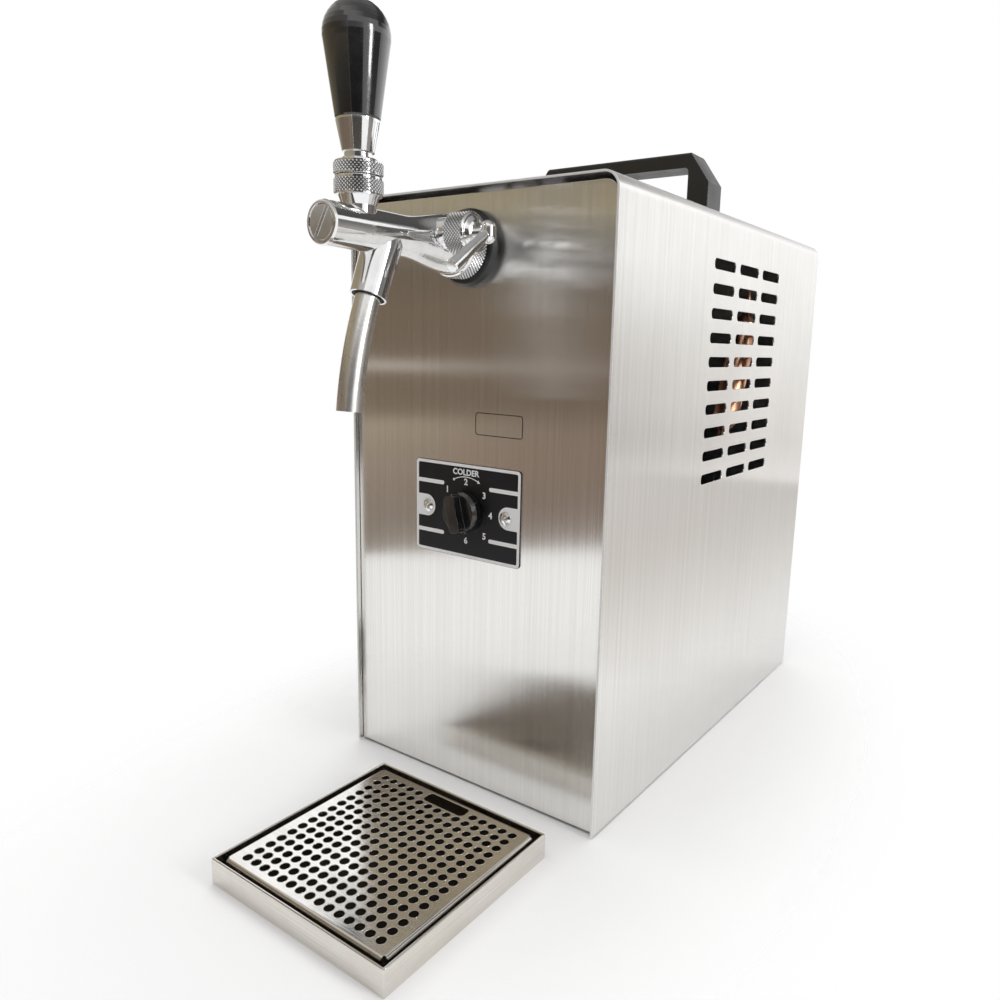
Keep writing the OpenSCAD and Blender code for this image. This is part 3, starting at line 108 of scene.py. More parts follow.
def put(tree, kind, ins=None, **settings):
    # Adds one node with its settings and inputs
    made = tree.nodes.new(kind)
    for key, value in settings.items():
        setattr(made, key, value)
    return feed(tree, made, ins or {})


def calc(tree, operation, *terms):
    # One maths node, whose result isn't clamped
    return put(tree, "ShaderNodeMath", dict(enumerate(terms)), operation=operation).outputs[0]


def more(tree, base, share, amount):
    # The base, with that amount of the share on top
    return calc(tree, "MULTIPLY_ADD", share, amount, base)


def vector(tree, operation, *terms):
    # One vector maths node, with all its outputs
    return put(tree, "ShaderNodeVectorMath", dict(enumerate(terms)), operation=operation).outputs


def split(tree, value):
    # The X, Y and Z of a vector
    return put(tree, "ShaderNodeSeparateXYZ", {0: value}).outputs


def spread(tree, value, first, last, low=0.0, high=1.0):
    # Values from first to last become low to high, with the ends held
    ins = {"Value": value, "From Min": first, "From Max": last, "To Min": low, "To Max": high}
    return put(tree, "ShaderNodeMapRange", ins, interpolation_type="SMOOTHSTEP").outputs["Result"]


print("node helpers ready")


# %% Helpers for colours and places
def rgb(red, green, blue):
    return (red, green, blue, 1.0)


def tint(tree, share, first, second):
    # Colour between first and second
    ins = {0: share, 6: first, 7: second}
    return put(tree, "ShaderNodeMix", ins, data_type="RGBA").outputs[2]


def spot(tree):
    # Where a point lies on its piece, in metres
    return put(tree, "ShaderNodeTexCoord").outputs["Object"]


def facing(tree):
    # The way a face looks
    return put(tree, "ShaderNodeNewGeometry").outputs["Normal"]


def noise(tree, place, scale, detail):
    # Clouds of values round a half
    ins = {"Vector": place, "Scale": scale, "Detail": detail}
    return put(tree, "ShaderNodeTexNoise", ins).outputs[0]


def start(name):
    # A new material with its own shader
    made = bpy.data.materials.new(name)
    made.use_nodes = True
    return made, made.node_tree, made.node_tree.nodes["Principled BSDF"]


print("colour helpers ready")

# %% [markdown]
# ## Floor, lamps and boards
#
# The cooler stands on white paper that has no end. A disc of pale floor fades out into a white world, so
# there is no horizon, and the floor still takes the object's soft shadow. Polished metal shows whatever
# stands round it. A photographer puts grey boards beside the lens, because chrome in an all-white tent looks
# like paper. The boards here do the same: they stand out of the picture, they are only seen in the metal, and
# their tones change with height, which gives the brushed steel its level bands.

# %% White world
FILL = 0.46
world = bpy.data.worlds.new("white_paper")
scene.world = world
world.use_nodes = True
tree = world.node_tree
path = put(tree, "ShaderNodeLightPath").outputs
seen = calc(tree, "MAXIMUM", path["Is Camera Ray"], path["Is Glossy Ray"])
seen = calc(tree, "MAXIMUM", seen, path["Is Transmission Ray"])
level = more(tree, FILL, seen, 1.0 - FILL)
feed(tree, tree.nodes["Background"], {"Color": rgb(1, 1, 1), "Strength": level})
world.cycles.sampling_method = "NONE"
print("the world is white where it is seen and gives", FILL, "of fill light")


# %% Floor that fades into the white
def add_mesh(name, verts, faces):
    # A mesh object from plain lists
    mesh = bpy.data.meshes.new(name)
    mesh.from_pydata(verts, [], faces)
    made = bpy.data.objects.new(name, mesh)
    scene.collection.objects.link(made)
    return made


FLOOR_R = 1.5
FLOOR_SIDES = 96
# The fade is an ellipse, twice as long as it is wide, with its middle a little before the casing's
FADE_SHAPE = (1, 0.5, 1)
FADE_MOVE = (0, 0.02, 0)
FADE_START, FADE_END = 0.13, 0.27
turns = [math.tau * i / FLOOR_SIDES for i in range(FLOOR_SIDES)]
edge = [(FLOOR_R * math.cos(a), FLOOR_R * math.sin(a), 0) for a in turns]
floor = add_mesh("floor", edge, [list(range(FLOOR_SIDES))])
paper, tree, sheet = start("white_floor")
place = spot(tree)
fibre = noise(tree, place, 900.0, 2.0)
middle = vector(tree, "MULTIPLY_ADD", place, FADE_SHAPE, FADE_MOVE)[0]
reach = vector(tree, "LENGTH", middle)["Value"]
feed(tree, sheet, {"Base Color": tint(tree, fibre, rgb(0.93, 0.93, 0.93), rgb(0.96, 0.96, 0.96)),
                   "Roughness": 0.85, "Specular IOR Level": 0.1,
                   "Alpha": spread(tree, reach, FADE_START, FADE_END, 1.0, 0.0)})
floor.data.materials.append(paper)
print("floor radius", FLOOR_R, "m")


# %% Soft lamps
def soft_lamp(name, place, aim, width, height, radiance):
    # A flat lamp whose face is as bright as radiance says
    light = bpy.data.lights.new(name, "AREA")
    light.shape = "RECTANGLE"
    light.size = width
    light.size_y = height
    light.energy = radiance * math.pi * width * height
    lamp = bpy.data.objects.new(name, light)
    turn = (Vector(aim) - Vector(place)).to_track_quat("-Z", "Y").to_matrix().to_4x4()
    turn.translation = Vector(place)
    lamp.matrix_world = turn
    lamp.visible_camera = False
    scene.collection.objects.link(lamp)
    return lamp


top_lamp = soft_lamp("top_lamp", place=(-0.3, 0.1, 1.9), aim=(0, 0, 0.1), width=2.4, height=2.4, radiance=1.6)
top_lamp.visible_glossy = False
soft_lamp("side_lamp", place=(1.25, -0.06, 0.74), aim=(0, 0, 0.42), width=0.22, height=0.60, radiance=12.0)


# %% Boards that the metal shows
def card(name, corners, axis, tones):
    # A glowing card; a row of tones is a place along the axis in metres, then red, green and blue
    made = add_mesh(name, corners, [[0, 1, 2, 3]])
    finish, tree, _ = start(name)
    low, high = tones[0][0], tones[-1][0]
    along = split(tree, spot(tree))[axis]
    share = calc(tree, "DIVIDE", calc(tree, "SUBTRACT", along, low), high - low)
    ramp = put(tree, "ShaderNodeValToRGB", {"Fac": share})
    stops = ramp.color_ramp.elements
    stops[0].color = rgb(*tones[0][1:])
    stops[1].color = rgb(*tones[-1][1:])
    for at, *colour in tones[1:-1]:
        stops.new((at - low) / (high - low)).color = rgb(*colour)
    glow = put(tree, "ShaderNodeEmission", {"Color": ramp.outputs["Color"], "Strength": 1.0})
    feed(tree, tree.nodes["Material Output"], {"Surface": glow.outputs[0]})
    made.data.materials.append(finish)
    made.visible_camera = False
    made.visible_shadow = False
    made.visible_diffuse = False


def board(name, foot_left, foot_right, tones):
    # An upright card on the floor, as high as its last tone
    (ax, ay), (bx, by), top = foot_left, foot_right, tones[-1][0]
    card(name, [(ax, ay, 0), (bx, by, 0), (bx, by, top), (ax, ay, top)], "Z", tones)


def level_card(name, first, last, z, axis, tones):
    # A level card between two corners, at the height z
    (ax, ay), (bx, by) = first, last
    card(name, [(ax, ay, z), (bx, ay, z), (bx, by, z), (ax, by, z)], axis, tones)


OLIVE = (0.42, 0.37, 0.26)
board("left_board", (-1.03, 0.12), (-0.40, -0.57), [
    (0.0, 0.27, 0.225, 0.175), (0.06, 0.28, 0.23, 0.18), (0.12, 0.35, 0.29, 0.235),
    (0.150, 0.38, 0.31, 0.235), (0.185, 0.46, 0.38, 0.29), (0.200, 0.23, 0.18, 0.13),
    (0.254, 0.21, 0.165, 0.12), (0.262, 0.95, 0.88, 0.78), (0.270, 0.21, 0.165, 0.12),
    (0.34, 0.20, 0.155, 0.11), (0.385, 0.17, 0.135, 0.095), (0.41, 0.22, 0.19, 0.15),
    (0.44, 0.30, 0.28, 0.25), (0.465, *OLIVE), (0.50, 0.36, 0.30, 0.20),
    (0.65, 0.30, 0.25, 0.17), (0.8, 0.55, 0.53, 0.49), (1.3, 0.62, 0.61, 0.58)])
board("brown_board", (-0.40, -0.57), (0.385, -1.432), [
    (0.0, 0.20, 0.145, 0.11), (0.05, 0.21, 0.15, 0.115), (0.12, 0.25, 0.185, 0.14),
    (0.17, 0.24, 0.185, 0.145), (0.21, 0.18, 0.135, 0.10), (0.256, 0.175, 0.13, 0.10),
    (0.264, 0.36, 0.31, 0.26), (0.272, 0.175, 0.13, 0.10), (0.34, 0.185, 0.14, 0.10),
    (0.385, 0.155, 0.12, 0.095), (0.41, 0.17, 0.145, 0.12), (0.43, 0.20, 0.185, 0.16),
    (0.46, 0.23, 0.21, 0.17), (0.482, *OLIVE), (0.50, 0.34, 0.285, 0.19),
    (0.65, 0.28, 0.235, 0.16), (0.8, 0.45, 0.43, 0.40), (1.3, 0.5, 0.49, 0.47)])
board("dark_board", (0.40, -1.42), (1.40, -0.72), [
    (0.0, 0.10, 0.09, 0.08), (0.35, 0.05, 0.046, 0.042), (0.55, 0.16, 0.15, 0.14),
    (0.6, 0.05, 0.047, 0.044), (0.75, 0.12, 0.115, 0.11), (0.95, 0.9, 0.89, 0.88), (1.3, 1, 1, 1)])
board("right_board", (1.27, 0.14), (1.02, 0.82), [
    (0.0, 0.38, 0.36, 0.34), (0.17, 0.33, 0.31, 0.29), (0.4, 0.22, 0.21, 0.20),
    (0.6, 0.15, 0.145, 0.14), (0.78, 0.20, 0.195, 0.19)])
board("near_board", (0.95, 1.05), (0.72, 1.203), [
    (0.0, 0.60, 0.56, 0.53), (0.05, 0.34, 0.305, 0.285), (0.10, 0.32, 0.29, 0.27),
    (0.16, 0.42, 0.38, 0.35), (0.25, 0.50, 0.47, 0.43), (0.33, 0.72, 0.70, 0.65),
    (0.40, 1.0, 0.99, 0.95), (0.50, 1.2, 1.2, 1.2), (1.1, 1.2, 1.2, 1.22)])
board("far_board", (0.72, 1.203), (-0.10, 1.75), [
    (0.0, 1.15, 1.13, 1.12), (0.08, 1.05, 1.03, 1.01), (0.16, 1.12, 1.10, 1.08),
    (0.25, 1.2, 1.19, 1.18), (0.39, 1.25, 1.25, 1.25), (1.1, 1.25, 1.25, 1.27)])
level_card("grey_floor", (0.2, 0.1), (1.0, 1.3), 0.001, "X", [
    (0.2, 0.95, 0.935, 0.92), (0.3, 0.82, 0.795, 0.77), (0.42, 0.66, 0.63, 0.60),
    (0.7, 0.68, 0.65, 0.63), (1.0, 0.82, 0.80, 0.78)])
level_card("dark_ceiling", (-1.4, -1.7), (1.4, 1.9), 1.5, "Y", [
    (-1.7, 1, 1, 1), (-0.8, 0.95, 0.94, 0.93), (-0.3, 0.40, 0.39, 0.38), (0.5, 0.30, 0.295, 0.29),
    (0.8, 0.09, 0.088, 0.085), (1.25, 0.07, 0.068, 0.066), (1.5, 0.45, 0.44, 0.43), (1.9, 0.7, 0.69, 0.68)])

# %% [markdown]
# ## Shared surface effects
#
# Several finishes share the same small effects: the lines of a brushed sheet, the marks of wiping hands, soft
# edges, the skin of moulded plastic, settled dust. They could be wired anew in every material, but a change
# would then have to be made ten times. Each is a node group instead, built once with named inputs, and each
# material sets its own values. The groups put out masks, values and normals only. The shader itself stays in
# the material.

# %% Helpers for node groups
def group(name, inputs, outputs):
    # An empty shader group with its named sockets
    tree = bpy.data.node_groups.new(name, "ShaderNodeTree")
    for label, kind, value in inputs:
        socket = tree.interface.new_socket(label, in_out="INPUT", socket_type="NodeSocket" + kind)
        socket.default_value = value
    for label, kind in outputs:
        tree.interface.new_socket(label, in_out="OUTPUT", socket_type="NodeSocket" + kind)
    return tree, tree.nodes.new("NodeGroupInput").outputs, tree.nodes.new("NodeGroupOutput")


def use(tree, name, ins):
    # A group placed in a material with its own values
    made = put(tree, "ShaderNodeGroup", node_tree=bpy.data.node_groups[name])
    return feed(tree, made, ins).outputs


def facing_up(tree):
    # 1 on level faces, 0 on upright ones
    return calc(tree, "ABSOLUTE", split(tree, facing(tree))["Z"])


print("group helpers ready")

# %% Brushed grain
tree, given, result = group("brushed_grain", [
    ("Lines", "Float", 900.0), ("Side Lay", "Vector", (1, 1, 0.01)), ("Top Lay", "Vector", (0.01, 1, 1))],
    [("Streak", "Float"), ("Band", "Float")])
place = spot(tree)
side = vector(tree, "MULTIPLY", place, given["Side Lay"])[0]
top = vector(tree, "MULTIPLY", place, given["Top Lay"])[0]
level = spread(tree, facing_up(tree), 0.6, 0.8)
lay = put(tree, "ShaderNodeMix", {0: level, 4: side, 5: top}, data_type="VECTOR").outputs[1]
fine = noise(tree, lay, given["Lines"], 3.0)
broad = noise(tree, lay, calc(tree, "MULTIPLY", given["Lines"], 0.36), 2.0)
feed(tree, result, {"Streak": spread(tree, fine, 0.3, 0.7), "Band": spread(tree, broad, 0.3, 0.7)})
print("brushed_grain:", len(tree.nodes), "nodes")

# %% Handling marks
tree, given, result = group("handling_marks", [("Scale", "Float", 14.0)], [("Mask", "Float")])
place = spot(tree)
wide = noise(tree, place, given["Scale"], 4.0)
close = noise(tree, place, calc(tree, "MULTIPLY", given["Scale"], 7.0), 3.0)
feed(tree, result, {"Mask": spread(tree, more(tree, wide, close, 0.35), 0.52, 0.86)})
print("handling_marks:", len(tree.nodes), "nodes")

# %% Soft edges
tree, given, result = group("soft_edges", [("Radius", "Float", 0.0004)],
                            [("Normal", "Vector"), ("Edge", "Float")])
bent = put(tree, "ShaderNodeBevel", {"Radius": given["Radius"]}, samples=4).outputs[0]
same = vector(tree, "DOT_PRODUCT", bent, facing(tree))["Value"]
feed(tree, result, {"Normal": bent, "Edge": spread(tree, same, 0.99, 0.8)})
print("soft_edges:", len(tree.nodes), "nodes")

# %% Moulded skin
tree, given, result = group("moulded_skin", [("Grain", "Float", 1400.0)],
                            [("Height", "Float"), ("Tone", "Float")])
place = spot(tree)
pits = put(tree, "ShaderNodeTexVoronoi", {"Vector": place, "Scale": given["Grain"]}).outputs["Distance"]
soft = noise(tree, place, calc(tree, "MULTIPLY", given["Grain"], 0.5), 3.0)
feed(tree, result, {"Height": more(tree, pits, soft, 0.6), "Tone": noise(tree, place, 60.0, 4.0)})
print("moulded_skin:", len(tree.nodes), "nodes")

# %% Settled dust
tree, given, result = group("settled_dust", [("Amount", "Float", 0.3)], [("Mask", "Float")])
lies = spread(tree, split(tree, facing(tree))["Z"], 0.4, 0.95)
specks = spread(tree, noise(tree, spot(tree), 220.0, 5.0), 0.35, 0.75, 0.2, 1.0)
cover = calc(tree, "MULTIPLY", lies, specks)
feed(tree, result, {"Mask": calc(tree, "MULTIPLY", cover, given["Amount"])})
print("settled_dust:", len(tree.nodes), "nodes")

# %% [markdown]
# ## Brushed steel
#
# The casing is folded from steel that was brushed in one direction, from the counter up over the top. The
# scratches act as tiny upright cylinders: they smear a reflection sideways, so the sheet shows level bands.
# Drawn lines alone would look like cloth. The shader's anisotropy bends the reflections as real scratches do,
# with its tangent laid across the grain, and the grain group varies tone, roughness and height so that single
# lines can be seen close by. The sheet's cut edge at the front is matt and pale, a painted highlight for the
# bright line that the fold's rounded edge catches.

# %% Helpers for relief and grain
def relief(tree, height, strength, distance, normal=None):
    # Small height turned into a normal
    ins = {"Height": height, "Strength": strength, "Distance": distance}
    if normal is not None:
        ins["Normal"] = normal
    return put(tree, "ShaderNodeBump", ins).outputs[0]


def across_grain(tree):
    # Level direction along a face; on a level face it runs front to back
    level = vector(tree, "CROSS_PRODUCT", facing(tree), (0, 0, 1))[0]
    leaning = vector(tree, "ADD", level, (0, 0.02, 0))[0]
    return vector(tree, "NORMALIZE", leaning)[0]


print("relief helpers ready")

# %% Casing steel
SHELL_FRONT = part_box("outer_shell")[0].y
STEEL_DARK, STEEL_LIGHT = rgb(0.768, 0.753, 0.728), rgb(0.858, 0.848, 0.828)
BARE_EDGE_AND_HIGHLIGHT = rgb(0.95, 0.94, 0.925)
casing_steel, tree, bsdf = start("casing_steel")
grain = use(tree, "brushed_grain", {"Lines": 1200.0, "Side Lay": (1, 1, 0.004), "Top Lay": (0.004, 1, 1)})
marks = use(tree, "handling_marks", {"Scale": 11.0})["Mask"]
edges = use(tree, "soft_edges", {"Radius": 0.6 * MM})
lines = more(tree, calc(tree, "MULTIPLY", grain["Band"], 0.35), grain["Streak"], 0.65)
tone = tint(tree, lines, STEEL_DARK, STEEL_LIGHT)
front = split(tree, spot(tree))["Y"]
# The cut front edge is painted pale and made matt: a painted highlight for the bright line of the fold
cut = spread(tree, front, SHELL_FRONT + 0.7 * MM, SHELL_FRONT + 0.3 * MM)
# Edges and the cut edge are tinted pale: wear on the edges, and a painted highlight
wear_and_edge_highlight = tint(tree, calc(tree, "MAXIMUM", edges["Edge"], cut), tone, BARE_EDGE_AND_HIGHLIGHT)
rough = more(tree, more(tree, 0.18, lines, 0.02), marks, 0.02)
feed(tree, bsdf, {"Base Color": wear_and_edge_highlight, "Metallic": more(tree, 1.0, cut, -0.8),
                  "Roughness": more(tree, rough, cut, 0.35), "Anisotropic": 1.0,
                  "Tangent": across_grain(tree),
                  "Normal": relief(tree, grain["Streak"], 0.02, 0.2 * MM, edges["Normal"])})
print("casing_steel done")

# %% Tray steel
DRIP_STAIN = rgb(0.62, 0.57, 0.48)
BASIN_PAINTED_SHADE = rgb(0.045, 0.038, 0.028)
tray_steel, tree, bsdf = start("tray_steel")
grain = use(tree, "brushed_grain", {
    "Lines": 1500.0, "Side Lay": (0.01, 0.01, 1), "Top Lay": (0.012, 1, 1)})["Streak"]
marks = use(tree, "handling_marks", {"Scale": 24.0})["Mask"]
edges = use(tree, "soft_edges", {"Radius": 0.5 * MM})
# Level faces are smoother from wiping and also get a lighter tone than the walls: a painted highlight on the
# top
level_polish_and_highlight = spread(tree, facing_up(tree), 0.6, 0.9)
shaded_wall_tone = tint(tree, grain, rgb(0.70, 0.67, 0.62), rgb(0.80, 0.775, 0.74))
bright = tint(tree, grain, rgb(0.90, 0.885, 0.86), rgb(0.96, 0.95, 0.93))
tone = tint(tree, level_polish_and_highlight, shaded_wall_tone, bright)
stained = tint(tree, calc(tree, "MULTIPLY", marks, 0.22), tone, DRIP_STAIN)
# Edges tinted pale: wear, and a painted edge highlight
wear_and_edge_highlight = tint(tree, edges["Edge"], stained, rgb(0.92, 0.92, 0.91))
# Painted shade: the tray's floor lies low and faces up under the grid, so it is painted near black and made
# rougher
low_part = spread(tree, split(tree, spot(tree))["Z"], 1.6 * MM, 3.6 * MM, 1.0, 0.0)
basin_shade_mask = calc(tree, "MULTIPLY", low_part, facing_up(tree))
rough = more(tree, more(tree, 0.17, marks, 0.07), level_polish_and_highlight, -0.09)
feed(tree, bsdf, {"Base Color": tint(tree, basin_shade_mask, wear_and_edge_highlight, BASIN_PAINTED_SHADE), "Metallic": 1.0,
                  "Roughness": more(tree, rough, basin_shade_mask, 0.40), "Anisotropic": 0.4,
                  "Normal": relief(tree, grain, 0.05, 0.2 * MM, edges["Normal"])})
print("tray_steel done")

# %% Spout steel
spout_steel, tree, bsdf = start("spout_steel")
marks = use(tree, "handling_marks", {"Scale": 40.0})["Mask"]
grain = use(tree, "brushed_grain", {
    "Lines": 2200.0, "Side Lay": (1, 1, 0.02), "Top Lay": (1, 1, 0.02)})["Streak"]
tone = tint(tree, grain, rgb(0.79, 0.775, 0.75), rgb(0.88, 0.87, 0.85))
feed(tree, bsdf, {"Base Color": tone, "Metallic": 1.0, "Roughness": more(tree, 0.22, marks, 0.08),
                  "Normal": relief(tree, grain, 0.04, 0.1 * MM)})
print("spout_steel done")

# %% [markdown]
# ## Chrome
#
# The tap is cast in brass, ground, polished and plated. A perfect mirror would look drawn, because a polisher
# leaves the faces slightly wavy and the plating slightly clouded. A slow noise moves the normals a little,
# and a second one clouds the plating's shine. In the knurls the colour follows a value that each tooth
# carries
# with it, from its groove to its tip: the grooves are painted dark as painted shade, and the tips stay
# bright.

# %% Chrome plating
chrome, tree, bsdf = start("chrome")
cloud = use(tree, "handling_marks", {"Scale": 55.0})["Mask"]
edges = use(tree, "soft_edges", {"Radius": 0.4 * MM})
wave = noise(tree, spot(tree), 90.0, 1.0)
tone = tint(tree, cloud, rgb(0.90, 0.905, 0.915), rgb(0.83, 0.83, 0.83))
feed(tree, bsdf, {"Base Color": tone, "Metallic": 1.0, "Roughness": more(tree, 0.045, cloud, 0.06),
                  "Normal": relief(tree, wave, 0.12, 0.6 * MM, edges["Normal"])})
print("chrome done")

# %% Chrome in the knurls
GROOVE_PAINTED_SHADE, TOOTH_TIP = rgb(0.16, 0.157, 0.154), rgb(0.93, 0.93, 0.94)
knurled_chrome, tree, bsdf = start("knurled_chrome")
tip = put(tree, "ShaderNodeAttribute", attribute_name="tip").outputs["Fac"]
cloud = use(tree, "handling_marks", {"Scale": 90.0})["Mask"]
# Painted shade: the colour darkens from each tooth's tip down into its groove
tone = tint(tree, spread(tree, tip, 0.05, 0.75), GROOVE_PAINTED_SHADE, TOOTH_TIP)
feed(tree, bsdf, {"Base Color": tone, "Metallic": 1.0, "Roughness": more(tree, 0.3, cloud, 0.10)})
print("knurled_chrome done")

# %% [markdown]
# ## Black plastics, print and enamel
#
# Blacks differ by their gloss. The lever's grip is polished like a bowling ball, the carry handle and the
# rosette are moulded with a fine skin, the dial plate is silk-screened, the compressor is dipped in enamel.
# All start from nearly the same dark colour, and one black for all would melt them together, so roughness and
# relief have to tell them apart.

# %% Gloss black of the grip and the knob
gloss_black, tree, bsdf = start("gloss_black")
marks = use(tree, "handling_marks", {"Scale": 60.0})["Mask"]
edges = use(tree, "soft_edges", {"Radius": 0.7 * MM})
wave = noise(tree, spot(tree), 260.0, 2.0)
tone = tint(tree, marks, rgb(0.006, 0.006, 0.007), rgb(0.012, 0.012, 0.013))
feed(tree, bsdf, {"Base Color": tone, "Roughness": more(tree, 0.12, marks, 0.10), "Specular IOR Level": 0.7,
                  "Coat Weight": 1.0, "Normal": relief(tree, wave, 0.05, 0.4 * MM, edges["Normal"])})
print("gloss_black done")

# %% Satin black of the handle and the rosette
satin_black, tree, bsdf = start("satin_black")
skin = use(tree, "moulded_skin", {"Grain": 1500.0})
marks = use(tree, "handling_marks", {"Scale": 30.0})["Mask"]
edges = use(tree, "soft_edges", {"Radius": 0.9 * MM})
tone = tint(tree, skin["Tone"], rgb(0.004, 0.004, 0.004), rgb(0.008, 0.008, 0.0085))
# Edges tinted grey: rubbed wear, and a painted edge highlight
wear_and_edge_highlight = tint(tree, calc(tree, "MULTIPLY", edges["Edge"], 0.6), tone, rgb(0.03, 0.03, 0.03))
feed(tree, bsdf, {"Base Color": wear_and_edge_highlight, "Roughness": more(tree, 0.32, marks, 0.10), "Specular IOR Level": 0.8,
                  "Normal": relief(tree, skin["Height"], 0.12, 0.2 * MM, edges["Normal"])})
print("satin_black done")

# %% Screen-printed black and white of the dial
INK_GRAIN = 2600.0
dial_black, tree, bsdf = start("dial_black")
skin = use(tree, "moulded_skin", {"Grain": INK_GRAIN})
tone = tint(tree, skin["Tone"], rgb(0.006, 0.006, 0.008), rgb(0.012, 0.012, 0.014))
feed(tree, bsdf, {"Base Color": tone, "Roughness": more(tree, 0.28, skin["Tone"], 0.2),
                  "Specular IOR Level": 0.3, "Normal": relief(tree, skin["Height"], 0.08, 0.1 * MM)})

dial_white, tree, bsdf = start("dial_white")
skin = use(tree, "moulded_skin", {"Grain": INK_GRAIN})
tone = tint(tree, skin["Tone"], rgb(0.92, 0.895, 0.88), rgb(0.97, 0.955, 0.945))
feed(tree, bsdf, {"Base Color": tone, "Roughness": more(tree, 0.4, skin["Tone"], 0.2),
                  "Normal": relief(tree, skin["Height"], 0.06, 0.1 * MM)})
print("dial inks done")

# %% Enamel of the compressor
enamel_black, tree, bsdf = start("enamel_black")
dust = use(tree, "settled_dust", {"Amount": 0.35})["Mask"]
runs = noise(tree, spot(tree), 420.0, 2.0)
tone = tint(tree, dust, rgb(0.012, 0.012, 0.013), rgb(0.16, 0.15, 0.14))
feed(tree, bsdf, {"Base Color": tone, "Roughness": more(tree, 0.24, dust, 0.6),
                  "Normal": relief(tree, runs, 0.15, 0.4 * MM)})
print("enamel_black done")

# %% [markdown]
# ## Metals and soft parts of the inside
#
# Through the side slots one sees copper, and through the rear slots zinc, fins and the compressor. Drawn
# copper is bright where it was handled and browns in clouds. Zinc sheet has crystals as large as a thumbnail.
# Foam and rubber drink the light. So little of them shows that flat colours might do, but light falls in
# through the slots, and a flat colour there looks like a hole, so each has a short recipe of its own.

# %% Copper and brass
copper, tree, bsdf = start("copper")
aged = use(tree, "handling_marks", {"Scale": 34.0})["Mask"]
grain = use(tree, "brushed_grain", {
    "Lines": 1600.0, "Side Lay": (1, 1, 0.05), "Top Lay": (1, 1, 0.05)})["Streak"]
bright = tint(tree, grain, rgb(0.86, 0.47, 0.30), rgb(0.95, 0.60, 0.42))
tone = tint(tree, calc(tree, "MULTIPLY", aged, 0.7), bright, rgb(0.42, 0.20, 0.11))
feed(tree, bsdf, {"Base Color": tone, "Metallic": 1.0, "Roughness": more(tree, 0.24, aged, 0.22),
                  "Normal": relief(tree, grain, 0.05, 0.2 * MM)})

brass, tree, bsdf = start("brass")
aged = use(tree, "handling_marks", {"Scale": 70.0})["Mask"]
tone = tint(tree, aged, rgb(0.83, 0.64, 0.31), rgb(0.52, 0.38, 0.18))
feed(tree, bsdf, {"Base Color": tone, "Metallic": 1.0, "Roughness": more(tree, 0.2, aged, 0.2)})
print("copper and brass done")


# %% Zinc sheet, zinc-plated parts and aluminium
def zinc_finish(name, crystals, low, high, shine):
    # Zinc in crystals: each cell has its own tone and its own polish
    made, tree, bsdf = start(name)
    cells = put(tree, "ShaderNodeTexVoronoi", {"Vector": spot(tree), "Scale": crystals, "Randomness": 1.0})
    share = put(tree, "ShaderNodeSeparateColor", {0: cells.outputs["Color"]}).outputs[0]
    dust = use(tree, "settled_dust", {"Amount": 0.3})["Mask"]
    edges = use(tree, "soft_edges", {"Radius": 0.4 * MM})
    tone = tint(tree, dust, tint(tree, share, low, high), rgb(0.30, 0.28, 0.26))
    rough = calc(tree, "ADD", more(tree, shine, share, 0.16), dust)
    feed(tree, bsdf, {"Base Color": tone, "Metallic": 1.0, "Roughness": rough,
                      "Normal": relief(tree, share, 0.05, 0.1 * MM, edges["Normal"])})
    return made


zinc_sheet = zinc_finish("zinc_sheet", crystals=110.0, low=rgb(0.56, 0.58, 0.60),
                         high=rgb(0.70, 0.72, 0.735), shine=0.30)
zinc_parts = zinc_finish("zinc_parts", crystals=900.0, low=rgb(0.60, 0.61, 0.60),
                         high=rgb(0.74, 0.74, 0.73), shine=0.22)

aluminium, tree, bsdf = start("aluminium")
grain = use(tree, "brushed_grain", {
    "Lines": 700.0, "Side Lay": (0.02, 1, 1), "Top Lay": (0.02, 1, 1)})["Streak"]
dust = use(tree, "settled_dust", {"Amount": 0.3})["Mask"]
tone = tint(tree, grain, rgb(0.70, 0.71, 0.72), rgb(0.82, 0.825, 0.83))
feed(tree, bsdf, {"Base Color": tone, "Metallic": 1.0, "Roughness": calc(tree, "ADD", dust, 0.3),
                  "Normal": relief(tree, grain, 0.06, 0.2 * MM)})
print("zinc and aluminium done")


# %% Foam and rubber
def soft_black(name, grain, low, high, rough, depth):
    # Matt black with pores
    made, tree, bsdf = start(name)
    skin = use(tree, "moulded_skin", {"Grain": grain})
    dust = use(tree, "settled_dust", {"Amount": 0.25})["Mask"]
    tone = tint(tree, dust, tint(tree, skin["Tone"], low, high), rgb(0.14, 0.13, 0.12))
    feed(tree, bsdf, {"Base Color": tone, "Roughness": more(tree, rough, skin["Tone"], 0.2),
                      "Specular IOR Level": 0.3, "Normal": relief(tree, skin["Height"], 0.4, depth)})
    return made


foam = soft_black("foam", grain=320.0, low=rgb(0.020, 0.020, 0.021), high=rgb(0.045, 0.045, 0.047),
                  rough=0.75, depth=0.8 * MM)
rubber = soft_black("rubber", grain=1800.0, low=rgb(0.010, 0.010, 0.010), high=rgb(0.020, 0.020, 0.020),
                    rough=0.5, depth=0.2 * MM)
print("foam and rubber done")

# %% [markdown]
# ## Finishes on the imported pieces
#
# The record names a material slot for every piece. Finishes could be handed out piece by piece, but one table
# from slot to finish keeps the two in step: a piece that changes its slot changes its looks.

# %% Hand out the finishes
finishes = {m.name: m for m in (
    casing_steel, tray_steel, spout_steel, chrome, gloss_black, satin_black, dial_black, enamel_black, copper,
    brass, zinc_sheet, zinc_parts, aluminium, foam, rubber)}
subparts = frame["record"]["subparts"]
for row in subparts:
    mesh = cad_nodes[row["node"]].data
    mesh.materials.clear()
    mesh.materials.append(finishes[row["material_slot"]])
print("finishes:", len(finishes), "for", len(subparts), "pieces")

